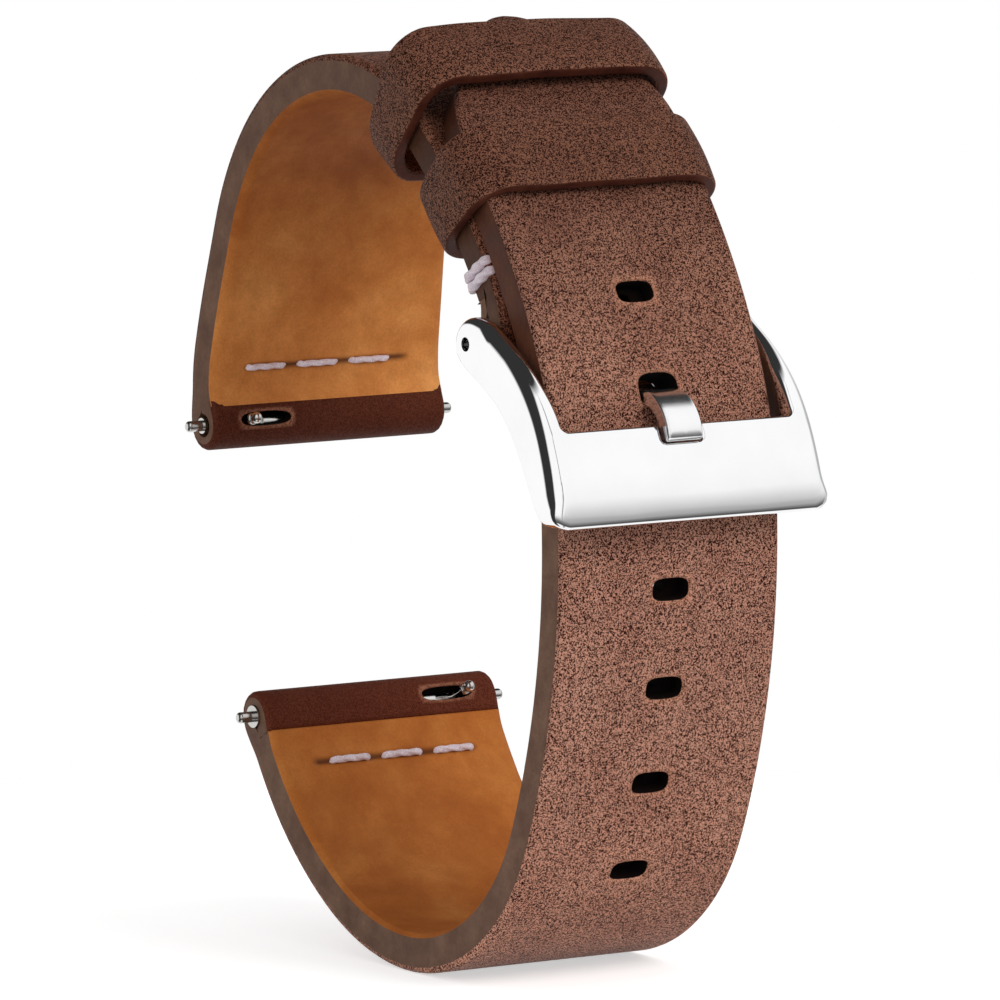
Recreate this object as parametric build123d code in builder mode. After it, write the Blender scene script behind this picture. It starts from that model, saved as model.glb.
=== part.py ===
from build123d import *
import os
from math import atan2, copysign, cos, degrees, radians, sin

os.makedirs("parts", exist_ok=True)

# A leather watch strap buckled into a loop. +X runs across the strap, -Y is the buckle's side, +Z is up.
# The origin is the middle of the upper spring bar.

# strap leather
lug_end_width = 19.6
buckle_end_width = 18.0
leather_thickness = 1.45
lining_thickness = 1.35
tail_gap = 0.1
leather_edge_round = 0.45
lining_edge_round = 0.3
lug_wrap_radius = 1.8
lug_bore_radius = 0.85
lug_fold_length = 3.5
wrap_run_in = 3.2
wrap_lead_angle = 14.0
overrun = 5.0
edge_alignment = 0.5
edge_tolerance = 0.06

# bends, from the upper lug over the crest to the buckle, then down the tail and round to the lower lug
upper_lug_bend_radius = 14.57
back_bend_radius = 142.8
crest_bend_radius = 17.07
shoulder_bend_radius = 43.03
brow_bend_radius = 29.27
front_bend_radius = 54.67
heel_bend_radius = 17.03
lower_lug_bend_radius = 31.03
upper_lug_angle = -13.72
back_start_angle = 10.77
crest_start_angle = 14.49
crest_end_angle = 128.46
brow_start_angle = 156.99
brow_end_angle = 176.67
heel_start_angle = 202.58
heel_end_angle = 304.12
lower_lug_angle = 334.54
tail_tip_angle = 105.0
buckle_bar_angle = 152.32
buckle_bar_inset = 2.54
buckle_wrap_radius = 1.95
buckle_bore_radius = 1.0
buckle_fold_length = 5.2
taper_end_angle = 268.0

# tail tip and buckle holes
tail_nose_radius = 3.2
tail_point_length = 8.5
tail_shoulder_radius = 7.0
first_hole_distance = 26.3
hole_pitch = 7.0
hole_count = 7
hole_width = 3.0
hole_length = 1.7
hole_corner_radius = 0.6

# thread
thread_radius = 0.2
thread_hole_radius = 0.24
stitch_length = 3.0
stitch_spacing = 4.4
stitch_count = 3
stitch_row_distance = 4.7
stitch_corner_radius = 0.35
stitch_groove_length = 14.0
stitch_groove_width = 0.6
stitch_groove_depth = 0.15
edge_stitch_inset = 1.5
edge_stitch_distances = (4.5, 5.5)
edge_stitch_sink = 0.3

# keepers
keeper_thickness = 1.1
keeper_length = 5.5
keeper_corner_radius = 1.9
keeper_edge_round = 0.3
fixed_keeper_end_distance = 18.4
fixed_keeper_side_gap = 0.25
fixed_keeper_gap = 0.15
free_keeper_end_distance = 8.9
free_keeper_side_gap = 0.55
free_keeper_gap = 0.22

# quick-release spring bars
bar_radius = 0.75
bar_bore_radius = 0.6
bar_end_inset = 0.5
bar_tip_radius = 0.4
bar_tip_stand = 1.4
bar_tip_round = 0.25
bar_flange_radius = 0.8
bar_flange_inset = 0.3
bar_shoulder_stand = 0.15
fixed_shank_length = 7.7
plunger_radius = 0.57
plunger_tail_length = 2.3
lever_inset = 2.9
lever_stem_radius = 0.28
lever_stem_root = 0.15
lever_collar_radius = 0.42
lever_collar_height = 0.4
lever_head_radius = 0.42
lever_top = 3.1
bar_slot_width = 0.7
slot_end_room = 0.02
lug_slot_width = 1.05
lug_slot_finger_room = 2.1
lug_slot_end_room = 0.7
bar_spring_turns = 7
bar_spring_radius = 0.42
spring_wire_radius = 0.09
spring_end_gap = 0.02

# buckle bar
buckle_bar_radius = 0.9
buckle_bar_bore_radius = 0.6
buckle_bar_end_inset = 0.1
buckle_bar_mouth_radius = 0.5
buckle_bar_lip = 0.4
buckle_tip_radius = 0.45
buckle_tip_seat = 1.15
buckle_head_radius = 0.55
buckle_head_length = 1.7
buckle_head_gap = 0.2
buckle_spring_turns = 10
buckle_spring_radius = 0.4

# buckle frame, with its outline measured from the pivot
frame_side_gap = 0.25
frame_pivot_wall = 1.5
frame_foot_wall = 2.05
frame_pivot_hole_radius = 0.5
frame_end_offset = 0.5
frame_end_radius = 2.1
frame_outer_points = ((-2.7, 1.05), (-4.9, -0.3), (-7.1, -1.95), (-9.1, -4.4), (-10.4, -7.2), (-11.45, -10.4))
frame_foot_points = ((-11.35, -11.5), (-9.5, -12.1))
frame_inner_points = ((-8.6, -11.2), (-7.1, -8.8), (-5.8, -6.8), (-4.1, -4.9), (-2.3, -3.4))
frame_end_start_angle = 275.0
frame_end_sweep = 200.0
plate_gap = 0.28
plate_top_distance = 35.9
plate_corner_radius = 1.5
frame_side_round = 0.65
frame_foot_round = 0.45
foot_corner_radius = 1.2

# tongue, with its middle line measured from the pivot
tongue_width = 2.9
tongue_thickness = 1.1
tongue_ring_radius = 1.95
tongue_ring_bore_radius = 1.0
tongue_points = ((-1.3, -0.7), (-3.0, -2.55), (-4.5, -3.75), (-6.2, -3.85), (-8.1, -3.75), (-9.5, -4.75),
                 (-10.05, -6.1))
tongue_edge_round = 0.2
tongue_stations = 16
tongue_tip_share = 0.6
tongue_clearance = 0.15
tongue_swings = (0.6, -0.8, -2.2, -3.6, -4.8)
tongue_slot_gap = 0.2
tongue_slot_length = 3.4
notch_side_gap = 0.2
notch_depth = 1.7
notch_corner_radius = 0.4

strap_thickness = leather_thickness + lining_thickness
stack_gap = strap_thickness + tail_gap

# places along the quick-release bars, from the middle
bar_length = lug_end_width - 2 * bar_end_inset
bar_flange_start = lug_end_width / 2 - bar_flange_inset
bar_flange_end = lug_end_width / 2 + bar_shoulder_stand
bar_tip_reach = lug_end_width / 2 + bar_tip_stand
fixed_shank_end = bar_length / 2 - fixed_shank_length
lever_position = lug_end_width / 2 - lever_inset
lever_travel = bar_tip_stand
plunger_inner_end = lever_position - plunger_tail_length
lug_slot_inner_end = lever_position - lever_travel - lug_slot_finger_room
lug_slot_outer_end = lever_position + lug_slot_end_room

# places along the buckle bar and across the frame
buckle_bar_length = buckle_end_width - 2 * buckle_bar_end_inset
buckle_head_outer_end = buckle_bar_length / 2 - buckle_bar_lip - buckle_head_gap
buckle_head_inner_end = buckle_head_outer_end - buckle_head_length
frame_opening_width = buckle_end_width + 2 * frame_side_gap
frame_pivot_width = frame_opening_width + 2 * frame_pivot_wall
frame_foot_width = frame_opening_width + 2 * frame_foot_wall
buckle_tip_reach = frame_opening_width / 2 + buckle_tip_seat
tongue_slot_width = tongue_width + 2 * tongue_slot_gap
notch_width = tongue_width + 2 * notch_side_gap

across = (1, 0, 0)
across_direction = Vector(across)


def outward(angle):
    return Vector(cos(radians(angle)), sin(radians(angle)))


# the strap's outer face as tangent arcs: (centre, radius, first angle, last angle) of the outward normal
def bend_chain(centre, radii, angles):
    bends = []
    for index, radius in enumerate(radii):
        bends.append((centre, radius, angles[index], angles[index + 1]))
        if index + 1 < len(radii):
            centre = centre + outward(angles[index + 1]) * (radius - radii[index + 1])
    return bends


# the same chain cut short at its two ends
def trimmed(bends, start_length, end_length):
    kept = list(bends)
    centre, radius, first, last = kept[0]
    kept[0] = (centre, radius, first + copysign(degrees(start_length / radius), last - first), last)
    centre, radius, first, last = kept[-1]
    kept[-1] = (centre, radius, first, last - copysign(degrees(end_length / radius), last - first))
    return kept


# the same chain walked from its other end
def backwards(bends):
    return [(centre, radius, last, first) for centre, radius, first, last in reversed(bends)]


def chain_length(bends):
    return sum(radius * radians(abs(last - first)) for centre, radius, first, last in bends)


# the plane lying on the outer face at a distance along the chain, its z pointing out of the face
def seat(bends, distance, depth=0):
    for centre, radius, first, last in bends:
        length = radius * radians(abs(last - first))
        if distance <= length:
            break
        distance -= length
    normal = outward(first + copysign(degrees(distance / radius), last - first))
    point = centre + normal * (radius - depth)
    return Plane(origin=(0, point.X, point.Y), x_dir=across, z_dir=(0, normal.X, normal.Y))


# the area between two depths below the outer face
def band(bends, upper_depth, lower_depth):
    with BuildSketch(Plane.YZ) as area:
        for centre, radius, first, last in bends:
            with BuildLine():
                outer = CenterArc(centre, radius - upper_depth, first, last - first)
                inner = CenterArc(centre, radius - lower_depth, first, last - first)
                Line(outer @ 0, inner @ 0)
                Line(outer @ 1, inner @ 1)
            make_face()
    return area.sketch_local


# the strap's profile with its end drawn round a bar
def wrapped(bends, bar, wrap_radius):
    straight = trimmed(bends, 0, wrap_run_in)
    centre, radius, first, last = straight[-1]
    turn = copysign(1, last - first)
    end_angle = bends[-1][3]
    outer_angle = end_angle + turn * wrap_lead_angle
    inner_angle = end_angle + turn * (180 - wrap_lead_angle)
    along = outward(last + turn * 90)
    with BuildSketch(Plane.YZ) as profile:
        add(band(straight, 0, strap_thickness))
        with BuildLine():
            wrap = CenterArc(bar, wrap_radius, outer_angle, inner_angle - outer_angle)
            outer_start = centre + outward(last) * radius
            inner_start = centre + outward(last) * (radius - strap_thickness)
            Spline(outer_start, wrap @ 0, tangents=(along, outward(outer_angle + turn * 90)))
            Spline(wrap @ 1, inner_start, tangents=(outward(inner_angle + turn * 90), along * -1))
            Line(inner_start, outer_start)
        make_face()
    return profile.sketch_local


# how deep a point lies below the outer face
def depth_of(bends, point):
    for centre, radius, first, last in bends:
        spoke = Vector(point.Y, point.Z) - centre
        angle = degrees(atan2(spoke.Y, spoke.X)) % 360
        low, high = min(first, last), max(first, last)
        if low <= angle <= high or low <= angle - 360 <= high:
            return radius - spoke.length
    return None


# the edges that run along the strap on its outer or inner face
def long_edges(solid, bends, depth):
    found = ShapeList()
    for edge in solid.edges():
        reached = depth_of(bends, edge.position_at(0.5))
        along = abs(edge.tangent_at(0.5).X) < edge_alignment
        if reached is not None and along and abs(reached - depth) < edge_tolerance:
            found.append(edge)
    return found


# everything outside an outline
def offcut_outside(outline, size):
    with BuildSketch() as waste:
        Rectangle(size, size)
        add(outline, mode=Mode.SUBTRACT)
    return waste.sketch_local


lug_start = outward(upper_lug_angle) * (strap_thickness / 2 - upper_lug_bend_radius)
short_bends = bend_chain(
    lug_start,
    (upper_lug_bend_radius, back_bend_radius, crest_bend_radius, shoulder_bend_radius),
    (upper_lug_angle, back_start_angle, crest_start_angle, crest_end_angle, buckle_bar_angle),
)
crest_centre = short_bends[2][0]
shoulder_centre = short_bends[3][0]
long_bends = bend_chain(
    crest_centre,
    (
        crest_bend_radius + stack_gap,
        shoulder_bend_radius + stack_gap,
        brow_bend_radius,
        front_bend_radius,
        heel_bend_radius,
        lower_lug_bend_radius,
    ),
    (
        tail_tip_angle,
        crest_end_angle,
        brow_start_angle,
        brow_end_angle,
        heel_start_angle,
        heel_end_angle,
        lower_lug_angle,
    ),
)
upper_bar = Vector(0, 0)
lower_bar = long_bends[-1][0] + outward(lower_lug_angle) * (lower_lug_bend_radius - strap_thickness / 2)
buckle_bar = shoulder_centre + outward(buckle_bar_angle) * (shoulder_bend_radius - buckle_bar_inset)

heel_centre = long_bends[4][0]
taper_end = heel_centre + outward(taper_end_angle) * heel_bend_radius
tail_tip = crest_centre + outward(tail_tip_angle) * (crest_bend_radius + stack_gap)
crest_top = crest_centre.Y + crest_bend_radius
strap_reach = chain_length(long_bends)


# both sides of a strap seen square on, narrowing smoothly from its lug end to its buckle end
def tapered_outline(lug_place, buckle_place, reach):
    away = copysign(reach, lug_place - buckle_place)
    along = (0, copysign(1, lug_place - buckle_place))
    middle_width = (lug_end_width + buckle_end_width) / 2
    middle_place = (lug_place + buckle_place) / 2
    with BuildLine(mode=Mode.PRIVATE) as outline:
        for side in (-0.5, 0.5):
            Line((side * buckle_end_width, -away), (side * buckle_end_width, buckle_place))
            bend = TangentArc((side * buckle_end_width, buckle_place), (side * middle_width, middle_place),
                              tangent=along)
            TangentArc(bend @ 1, (side * lug_end_width, lug_place), tangent=bend % 1)
            Line((side * lug_end_width, lug_place), (side * lug_end_width, away))
        Line((-buckle_end_width / 2, -away), (buckle_end_width / 2, -away))
        Line((-lug_end_width / 2, away), (lug_end_width / 2, away))
    return outline.line


# plan outline of the long strap below the bars: full width at the lug, narrow from the heel on
with BuildSketch() as lower_plan:
    with BuildLine():
        add(tapered_outline(lower_bar.X, taper_end.X, strap_reach))
    make_face()

# plan outline of the tail, drawn to a rounded point
with BuildSketch() as tail_plan:
    with BuildLine():
        Polyline(
            (-buckle_end_width / 2, -strap_reach),
            (-buckle_end_width / 2, tail_tip.X - tail_point_length),
            (0, tail_tip.X + tail_nose_radius / 2),
            (buckle_end_width / 2, tail_tip.X - tail_point_length),
            (buckle_end_width / 2, -strap_reach),
            close=True,
        )
    make_face()
    fillet(tail_plan.vertices().sort_by(Axis.Y)[-1], tail_nose_radius)
    fillet(tail_plan.vertices().filter_by_position(Axis.Y, tail_tip.X - tail_point_length - overrun,
                                                   tail_tip.X - tail_point_length + overrun), tail_shoulder_radius)

# back outline of the short strap: full width at the lug, narrow by the crest
with BuildSketch(Plane.XZ) as short_back:
    with BuildLine():
        add(tapered_outline(upper_bar.Y, crest_top - 2 * strap_thickness, strap_reach))
    make_face()


# a full-width blank of the given profile
def blank(profile):
    with BuildPart() as solid:
        with BuildSketch(Plane.YZ):
            add(profile)
        extrude(amount=lug_end_width / 2, both=True)
    return solid.part


# one strap's profile parted into its outer leather and its lining
def layers(profile, bends, start_fold, end_fold):
    with BuildSketch(Plane.YZ) as lining:
        add(profile)
        add(band(trimmed(bends, start_fold, end_fold), leather_thickness, strap_thickness + overrun), mode=Mode.INTERSECT)
    with BuildSketch(Plane.YZ) as leather:
        add(profile)
        add(lining.sketch_local, mode=Mode.SUBTRACT)
    return leather.sketch_local, lining.sketch_local


with BuildPart() as short_side_waste:
    crest_plane = Plane.XZ.offset(-crest_centre.X)
    with BuildSketch(crest_plane):
        add(offcut_outside(short_back.sketch_local, 2 * strap_reach))
    extrude(amount=-strap_reach)
    with BuildSketch(crest_plane):
        Rectangle(2 * strap_reach, 2 * strap_reach)
        Rectangle(buckle_end_width, 2 * strap_reach, mode=Mode.SUBTRACT)
    extrude(amount=strap_reach)

lug_fold = lug_fold_length - lug_wrap_radius
buckle_fold = buckle_fold_length - buckle_wrap_radius
long_profile = wrapped(long_bends, lower_bar, lug_wrap_radius)
with BuildSketch(Plane.YZ) as short_outline:
    add(wrapped(short_bends, buckle_bar, buckle_wrap_radius))
    add(wrapped(backwards(short_bends), upper_bar, lug_wrap_radius))
short_profile = short_outline.sketch_local
long_leather_profile, long_lining_profile = layers(long_profile, long_bends, 0, lug_fold)
short_leather_profile, short_lining_profile = layers(short_profile, short_bends, lug_fold, buckle_fold)


# closed loops of thread, each through the strap from one depth to another
def thread_loops(seats, radius):
    with BuildPart() as loops:
        for face, left, right, top, bottom in seats:
            middle = (left + right) / 2
            halfway = Plane(origin=face.origin + across_direction * middle, x_dir=across, z_dir=face.y_dir)
            with BuildLine(halfway) as half:
                FilletPolyline((0, top), (right - middle, top), (right - middle, bottom), (0, bottom),
                               radius=stitch_corner_radius)
            with BuildSketch(Plane(origin=half.line @ 0, z_dir=across)):
                Circle(radius)
            sweep(path=half.line)
            with BuildSketch(Plane(origin=half.line @ 0, z_dir=across)):
                Circle(radius)
            sweep(path=mirror(half.line, about=Plane(origin=halfway.origin, z_dir=across), mode=Mode.PRIVATE))
    return loops.part


def row_seats(face):
    places = []
    for index in range(stitch_count):
        middle = (index - (stitch_count - 1) / 2) * stitch_spacing
        places.append((face, middle - stitch_length / 2, middle + stitch_length / 2, 0, strap_thickness))
    return places


long_row = seat(long_bends, strap_reach - stitch_row_distance)
short_row = seat(short_bends, stitch_row_distance)
short_reach = chain_length(short_bends)
edge_seats = []
for distance in edge_stitch_distances:
    face = seat(short_bends, short_reach - distance)
    inner = buckle_end_width / 2 - edge_stitch_inset
    edge_seats.append((face, inner, buckle_end_width / 2, edge_stitch_sink, strap_thickness))
    edge_seats.append((face, -buckle_end_width / 2, -inner, edge_stitch_sink, strap_thickness))

with BuildPart() as long_strap_stitches:
    add(thread_loops(row_seats(long_row), thread_radius))
with BuildPart() as short_strap_lug_stitches:
    add(thread_loops(row_seats(short_row), thread_radius))
with BuildPart() as short_strap_buckle_stitches:
    add(thread_loops(edge_seats, thread_radius))

long_thread_room = thread_loops(row_seats(long_row), thread_hole_radius)
short_thread_room = thread_loops(row_seats(short_row) + edge_seats, thread_hole_radius)


# the pressed line in the lining that a stitch row lies in
def stitch_groove(face):
    with BuildPart() as groove:
        with BuildSketch(Plane(origin=face.origin - face.z_dir * strap_thickness, x_dir=across, z_dir=face.z_dir)):
            SlotOverall(stitch_groove_length, stitch_groove_width)
        extrude(amount=stitch_groove_depth, both=True)
    return groove.part


# the row of buckle holes, cut square to the face
def buckle_holes():
    with BuildPart() as holes:
        for index in range(hole_count):
            with BuildSketch(seat(long_bends, first_hole_distance + index * hole_pitch)):
                RectangleRounded(hole_width, hole_length, hole_corner_radius)
            extrude(amount=overrun, both=True)
    return holes.part


# the tongue's profile about the pivot: a ring for the bar and a shank that arches over the tail
def tongue_profile(room):
    half = tongue_thickness / 2 + room
    with BuildLine(mode=Mode.PRIVATE) as middle:
        Spline([buckle_bar + Vector(point) for point in tongue_points])
    upper_points = []
    lower_points = []
    for index in range(tongue_stations + 1):
        share = index / tongue_stations
        heading = middle.line % share
        upper_points.append(middle.line @ share + Vector(-heading.Y, heading.X) * half)
        lower_points.append(middle.line @ share - Vector(-heading.Y, heading.X) * half)
    tip = middle.line @ 1 + (middle.line % 1) * (half * tongue_tip_share)
    with BuildSketch(Plane.YZ) as profile:
        with BuildLine():
            Spline(upper_points)
            Spline(lower_points)
            Line(upper_points[0], lower_points[0])
            ThreePointArc(upper_points[-1], tip, lower_points[-1])
        make_face()
        with Locations(buckle_bar):
            Circle(tongue_ring_radius + room)
            Circle(tongue_ring_bore_radius - room, mode=Mode.SUBTRACT)
    return profile.sketch_local


pivot_axis = Axis((0, buckle_bar.X, buckle_bar.Y), across)

with BuildPart() as tongue_block:
    with BuildSketch(Plane.YZ):
        add(tongue_profile(tongue_clearance))
    extrude(amount=tongue_width / 2 + tongue_clearance, both=True)
tongue_rooms = [tongue_block.part.rotate(pivot_axis, swing) for swing in tongue_swings]

# the ring's slot in the fold at the buckle
with BuildPart() as ring_slot:
    bar_face = seat(short_bends, short_reach)
    with BuildSketch(bar_face):
        Rectangle(tongue_slot_width, tongue_slot_length + overrun, align=(Align.CENTER, Align.MAX))
        Rectangle(tongue_slot_width, tongue_slot_length, align=(Align.CENTER, Align.MIN))
    extrude(amount=overrun, both=True)


# the bore for a bar, and the slot through the fold's inner wall for its lever
def bar_bore(bar, radius):
    with BuildPart() as bore:
        with BuildSketch(Plane.YZ):
            with Locations(bar):
                Circle(radius)
        extrude(amount=lug_end_width, both=True)
    return bore.part


# the plane of a bar, its z towards the lever's end and its x the way the lever stands
def bar_plane(bar, side, inward_angle):
    inward = outward(inward_angle)
    return Plane(origin=(0, bar.X, bar.Y), x_dir=(0, inward.X, inward.Y), z_dir=(side, 0, 0))


def lever_slot(plane):
    with BuildPart() as slot:
        with BuildSketch(Plane(origin=plane.origin, x_dir=plane.z_dir, z_dir=plane.x_dir)):
            with Locations(((lug_slot_inner_end + lug_slot_outer_end) / 2, 0)):
                SlotOverall(lug_slot_outer_end - lug_slot_inner_end, lug_slot_width)
        extrude(amount=overrun)
    return slot.part


upper_plane = bar_plane(upper_bar, -1, upper_lug_angle + 180)
lower_plane = bar_plane(lower_bar, 1, lower_lug_angle + 180)

with BuildPart() as long_strap_outer:
    add(blank(long_leather_profile))
    with BuildSketch(Plane.XY.offset(-strap_reach)):
        add(offcut_outside(lower_plan.sketch_local, 2 * strap_reach))
    extrude(amount=strap_reach, mode=Mode.SUBTRACT)
    with BuildSketch():
        add(offcut_outside(tail_plan.sketch_local, 2 * strap_reach))
    extrude(amount=strap_reach, mode=Mode.SUBTRACT)
    fillet(long_edges(long_strap_outer.part, long_bends, 0), leather_edge_round)
    add(bar_bore(lower_bar, lug_bore_radius), mode=Mode.SUBTRACT)
    add(lever_slot(lower_plane), mode=Mode.SUBTRACT)
    add(buckle_holes(), mode=Mode.SUBTRACT)
    add(tongue_rooms, mode=Mode.SUBTRACT)
    add(long_thread_room, mode=Mode.SUBTRACT)

with BuildPart() as long_strap_lining:
    add(blank(long_lining_profile))
    with BuildSketch(Plane.XY.offset(-strap_reach)):
        add(offcut_outside(lower_plan.sketch_local, 2 * strap_reach))
    extrude(amount=strap_reach, mode=Mode.SUBTRACT)
    with BuildSketch():
        add(offcut_outside(tail_plan.sketch_local, 2 * strap_reach))
    extrude(amount=strap_reach, mode=Mode.SUBTRACT)
    fillet(long_edges(long_strap_lining.part, long_bends, strap_thickness), lining_edge_round)
    add(buckle_holes(), mode=Mode.SUBTRACT)
    add(tongue_rooms, mode=Mode.SUBTRACT)
    add(long_thread_room, mode=Mode.SUBTRACT)
    add(stitch_groove(long_row), mode=Mode.SUBTRACT)

with BuildPart() as short_strap_outer:
    add(blank(short_leather_profile))
    add(short_side_waste.part, mode=Mode.SUBTRACT)
    fillet(long_edges(short_strap_outer.part, short_bends, 0), leather_edge_round)
    add(bar_bore(upper_bar, lug_bore_radius), mode=Mode.SUBTRACT)
    add(bar_bore(buckle_bar, buckle_bore_radius), mode=Mode.SUBTRACT)
    add(lever_slot(upper_plane), mode=Mode.SUBTRACT)
    add(ring_slot.part, mode=Mode.SUBTRACT)
    add(short_thread_room, mode=Mode.SUBTRACT)

with BuildPart() as short_strap_lining:
    add(blank(short_lining_profile))
    add(short_side_waste.part, mode=Mode.SUBTRACT)
    fillet(long_edges(short_strap_lining.part, short_bends, strap_thickness), lining_edge_round)
    add(ring_slot.part, mode=Mode.SUBTRACT)
    add(short_thread_room, mode=Mode.SUBTRACT)
    add(stitch_groove(short_row), mode=Mode.SUBTRACT)


# a keeper bent along the strap: a rounded leather loop turned about the bend's centre
def keeper(centre, outer_radius, end_angle, side_gap, gap):
    end_direction = outward(end_angle)
    section = Plane(
        origin=(0, centre.X, centre.Y),
        x_dir=across,
        z_dir=(0, -end_direction.Y, end_direction.X),
    )
    stack = 2 * strap_thickness + tail_gap
    middle = outer_radius - stack / 2
    inner_width = buckle_end_width + 2 * side_gap
    inner_height = stack + 2 * gap
    with BuildPart() as loop:
        with BuildSketch(section):
            with Locations((0, middle)):
                RectangleRounded(inner_width + 2 * keeper_thickness, inner_height + 2 * keeper_thickness,
                                 keeper_corner_radius)
                RectangleRounded(inner_width, inner_height, keeper_corner_radius - keeper_thickness,
                                 mode=Mode.SUBTRACT)
        revolve(axis=Axis(section.origin, across), revolution_arc=-degrees(keeper_length / outer_radius))
        ends = loop.faces().filter_by(GeomType.PLANE).filter_by(lambda face: abs(face.normal_at().X) < edge_alignment)
        fillet(ends.edges(), keeper_edge_round)
    return loop.part


tail_crest_radius = crest_bend_radius + stack_gap
tail_shoulder_bend = shoulder_bend_radius + stack_gap
crest_length = tail_crest_radius * radians(crest_end_angle - tail_tip_angle)
with BuildPart() as free_keeper:
    add(keeper(crest_centre, tail_crest_radius,
               tail_tip_angle + degrees(free_keeper_end_distance / tail_crest_radius),
               free_keeper_side_gap, free_keeper_gap))
with BuildPart() as fixed_keeper:
    add(keeper(shoulder_centre, tail_shoulder_bend,
               crest_end_angle + degrees((fixed_keeper_end_distance - crest_length) / tail_shoulder_bend),
               fixed_keeper_side_gap, fixed_keeper_gap))


# a pin turned about a bar's axis from (radius, distance) steps, with its outer end rounded
def turned_pin(plane, steps, tip_round):
    with BuildPart() as pin:
        for radius, start, end in steps:
            with BuildSketch(Plane(origin=plane.origin + plane.z_dir * start, x_dir=plane.x_dir, z_dir=plane.z_dir)):
                Circle(radius)
            extrude(amount=end - start)
        tip = pin.edges().filter_by(GeomType.CIRCLE).sort_by_distance(plane.origin + plane.z_dir * steps[-1][2])[0]
        fillet(tip, tip_round)
    return pin.part


# a coil spring along a bar's axis
def coil_spring(plane, start, end, turns, radius):
    with BuildPart() as coil:
        lift = start + spring_wire_radius
        base = Plane(origin=plane.origin + plane.z_dir * lift, x_dir=plane.x_dir, z_dir=plane.z_dir)
        height = end - start - 2 * spring_wire_radius
        turn_path = Helix(pitch=height / turns, height=height, radius=radius)
        wire = turn_path.moved(base.location)
        with BuildSketch(Plane(origin=wire @ 0, z_dir=wire % 0)):
            Circle(spring_wire_radius)
        sweep(path=wire, is_frenet=True)
    return coil.part


# the parts of one quick-release bar
def bar_tube(plane):
    with BuildPart() as tube:
        with BuildSketch(Plane(origin=plane.origin, x_dir=plane.x_dir, z_dir=plane.z_dir)):
            Circle(bar_radius)
            Circle(bar_bore_radius, mode=Mode.SUBTRACT)
        extrude(amount=bar_length / 2, both=True)
        with BuildSketch(Plane(origin=plane.origin, x_dir=plane.z_dir, z_dir=plane.x_dir)):
            with Locations((lever_position - lever_travel / 2, 0)):
                SlotCenterToCenter(lever_travel + 2 * slot_end_room, bar_slot_width)
        extrude(amount=overrun, mode=Mode.SUBTRACT)
    return tube.part


def bar_fixed_tip(plane):
    away = Plane(origin=plane.origin, x_dir=plane.x_dir, z_dir=-plane.z_dir)
    return turned_pin(away, (
        (bar_bore_radius, fixed_shank_end, bar_length / 2),
        (bar_bore_radius, bar_length / 2, bar_flange_start),
        (bar_flange_radius, bar_flange_start, bar_flange_end),
        (bar_tip_radius, bar_flange_end, bar_tip_reach),
    ), bar_tip_round)


def bar_plunger(plane):
    with BuildPart() as plunger:
        add(turned_pin(plane, (
            (plunger_radius, plunger_inner_end, bar_flange_end),
            (bar_tip_radius, bar_flange_end, bar_tip_reach),
        ), bar_tip_round))
        stem = plane.origin + plane.z_dir * lever_position
        with BuildSketch(Plane(origin=stem + plane.x_dir * lever_stem_root, z_dir=plane.x_dir)):
            Circle(lever_stem_radius)
        extrude(amount=overrun, mode=Mode.SUBTRACT)
    return plunger.part


def bar_lever(plane):
    stem = plane.origin + plane.z_dir * lever_position
    side_view = Plane(origin=stem, x_dir=plane.z_dir, z_dir=plane.y_dir)
    collar_start = lever_top - lever_head_radius * 2 - lever_collar_height
    with BuildPart() as lever:
        with BuildSketch(Plane(origin=stem + plane.x_dir * lever_stem_root, z_dir=plane.x_dir)):
            Circle(lever_stem_radius)
        extrude(amount=lever_top - lever_head_radius - lever_stem_root)
        with BuildSketch(Plane(origin=stem + plane.x_dir * collar_start, z_dir=plane.x_dir)):
            Circle(lever_collar_radius)
        extrude(amount=lever_collar_height)
        fillet(lever.edges().filter_by(GeomType.CIRCLE).filter_by(
            lambda edge: abs(edge.radius - lever_collar_radius) < edge_tolerance), lever_collar_height / 3)
        with Locations(stem + plane.x_dir * (lever_top - lever_head_radius)):
            Sphere(lever_head_radius)
    return lever.part


def bar_spring(plane):
    return coil_spring(plane, spring_end_gap - fixed_shank_end, plunger_inner_end - spring_end_gap,
                       bar_spring_turns, bar_spring_radius)


buckle_plane = bar_plane(buckle_bar, 1, buckle_bar_angle)
buckle_plane_left = bar_plane(buckle_bar, -1, buckle_bar_angle)

with BuildPart() as buckle_bar_tube:
    with BuildSketch(buckle_plane):
        Circle(buckle_bar_radius)
        Circle(buckle_bar_mouth_radius, mode=Mode.SUBTRACT)
    extrude(amount=buckle_bar_length / 2, both=True)
    with BuildSketch(buckle_plane):
        Circle(buckle_bar_bore_radius)
    extrude(amount=buckle_bar_length / 2 - buckle_bar_lip, both=True, mode=Mode.SUBTRACT)


def buckle_plunger(plane):
    return turned_pin(plane, (
        (buckle_head_radius, buckle_head_inner_end, buckle_head_outer_end),
        (buckle_tip_radius, buckle_head_outer_end, buckle_tip_reach),
    ), bar_tip_round)


with BuildPart() as tongue:
    with BuildSketch(Plane.YZ):
        add(tongue_profile(0))
    extrude(amount=tongue_width / 2, both=True)
    fillet(tongue.faces().filter_by(Axis.X).edges(), tongue_edge_round)

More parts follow.
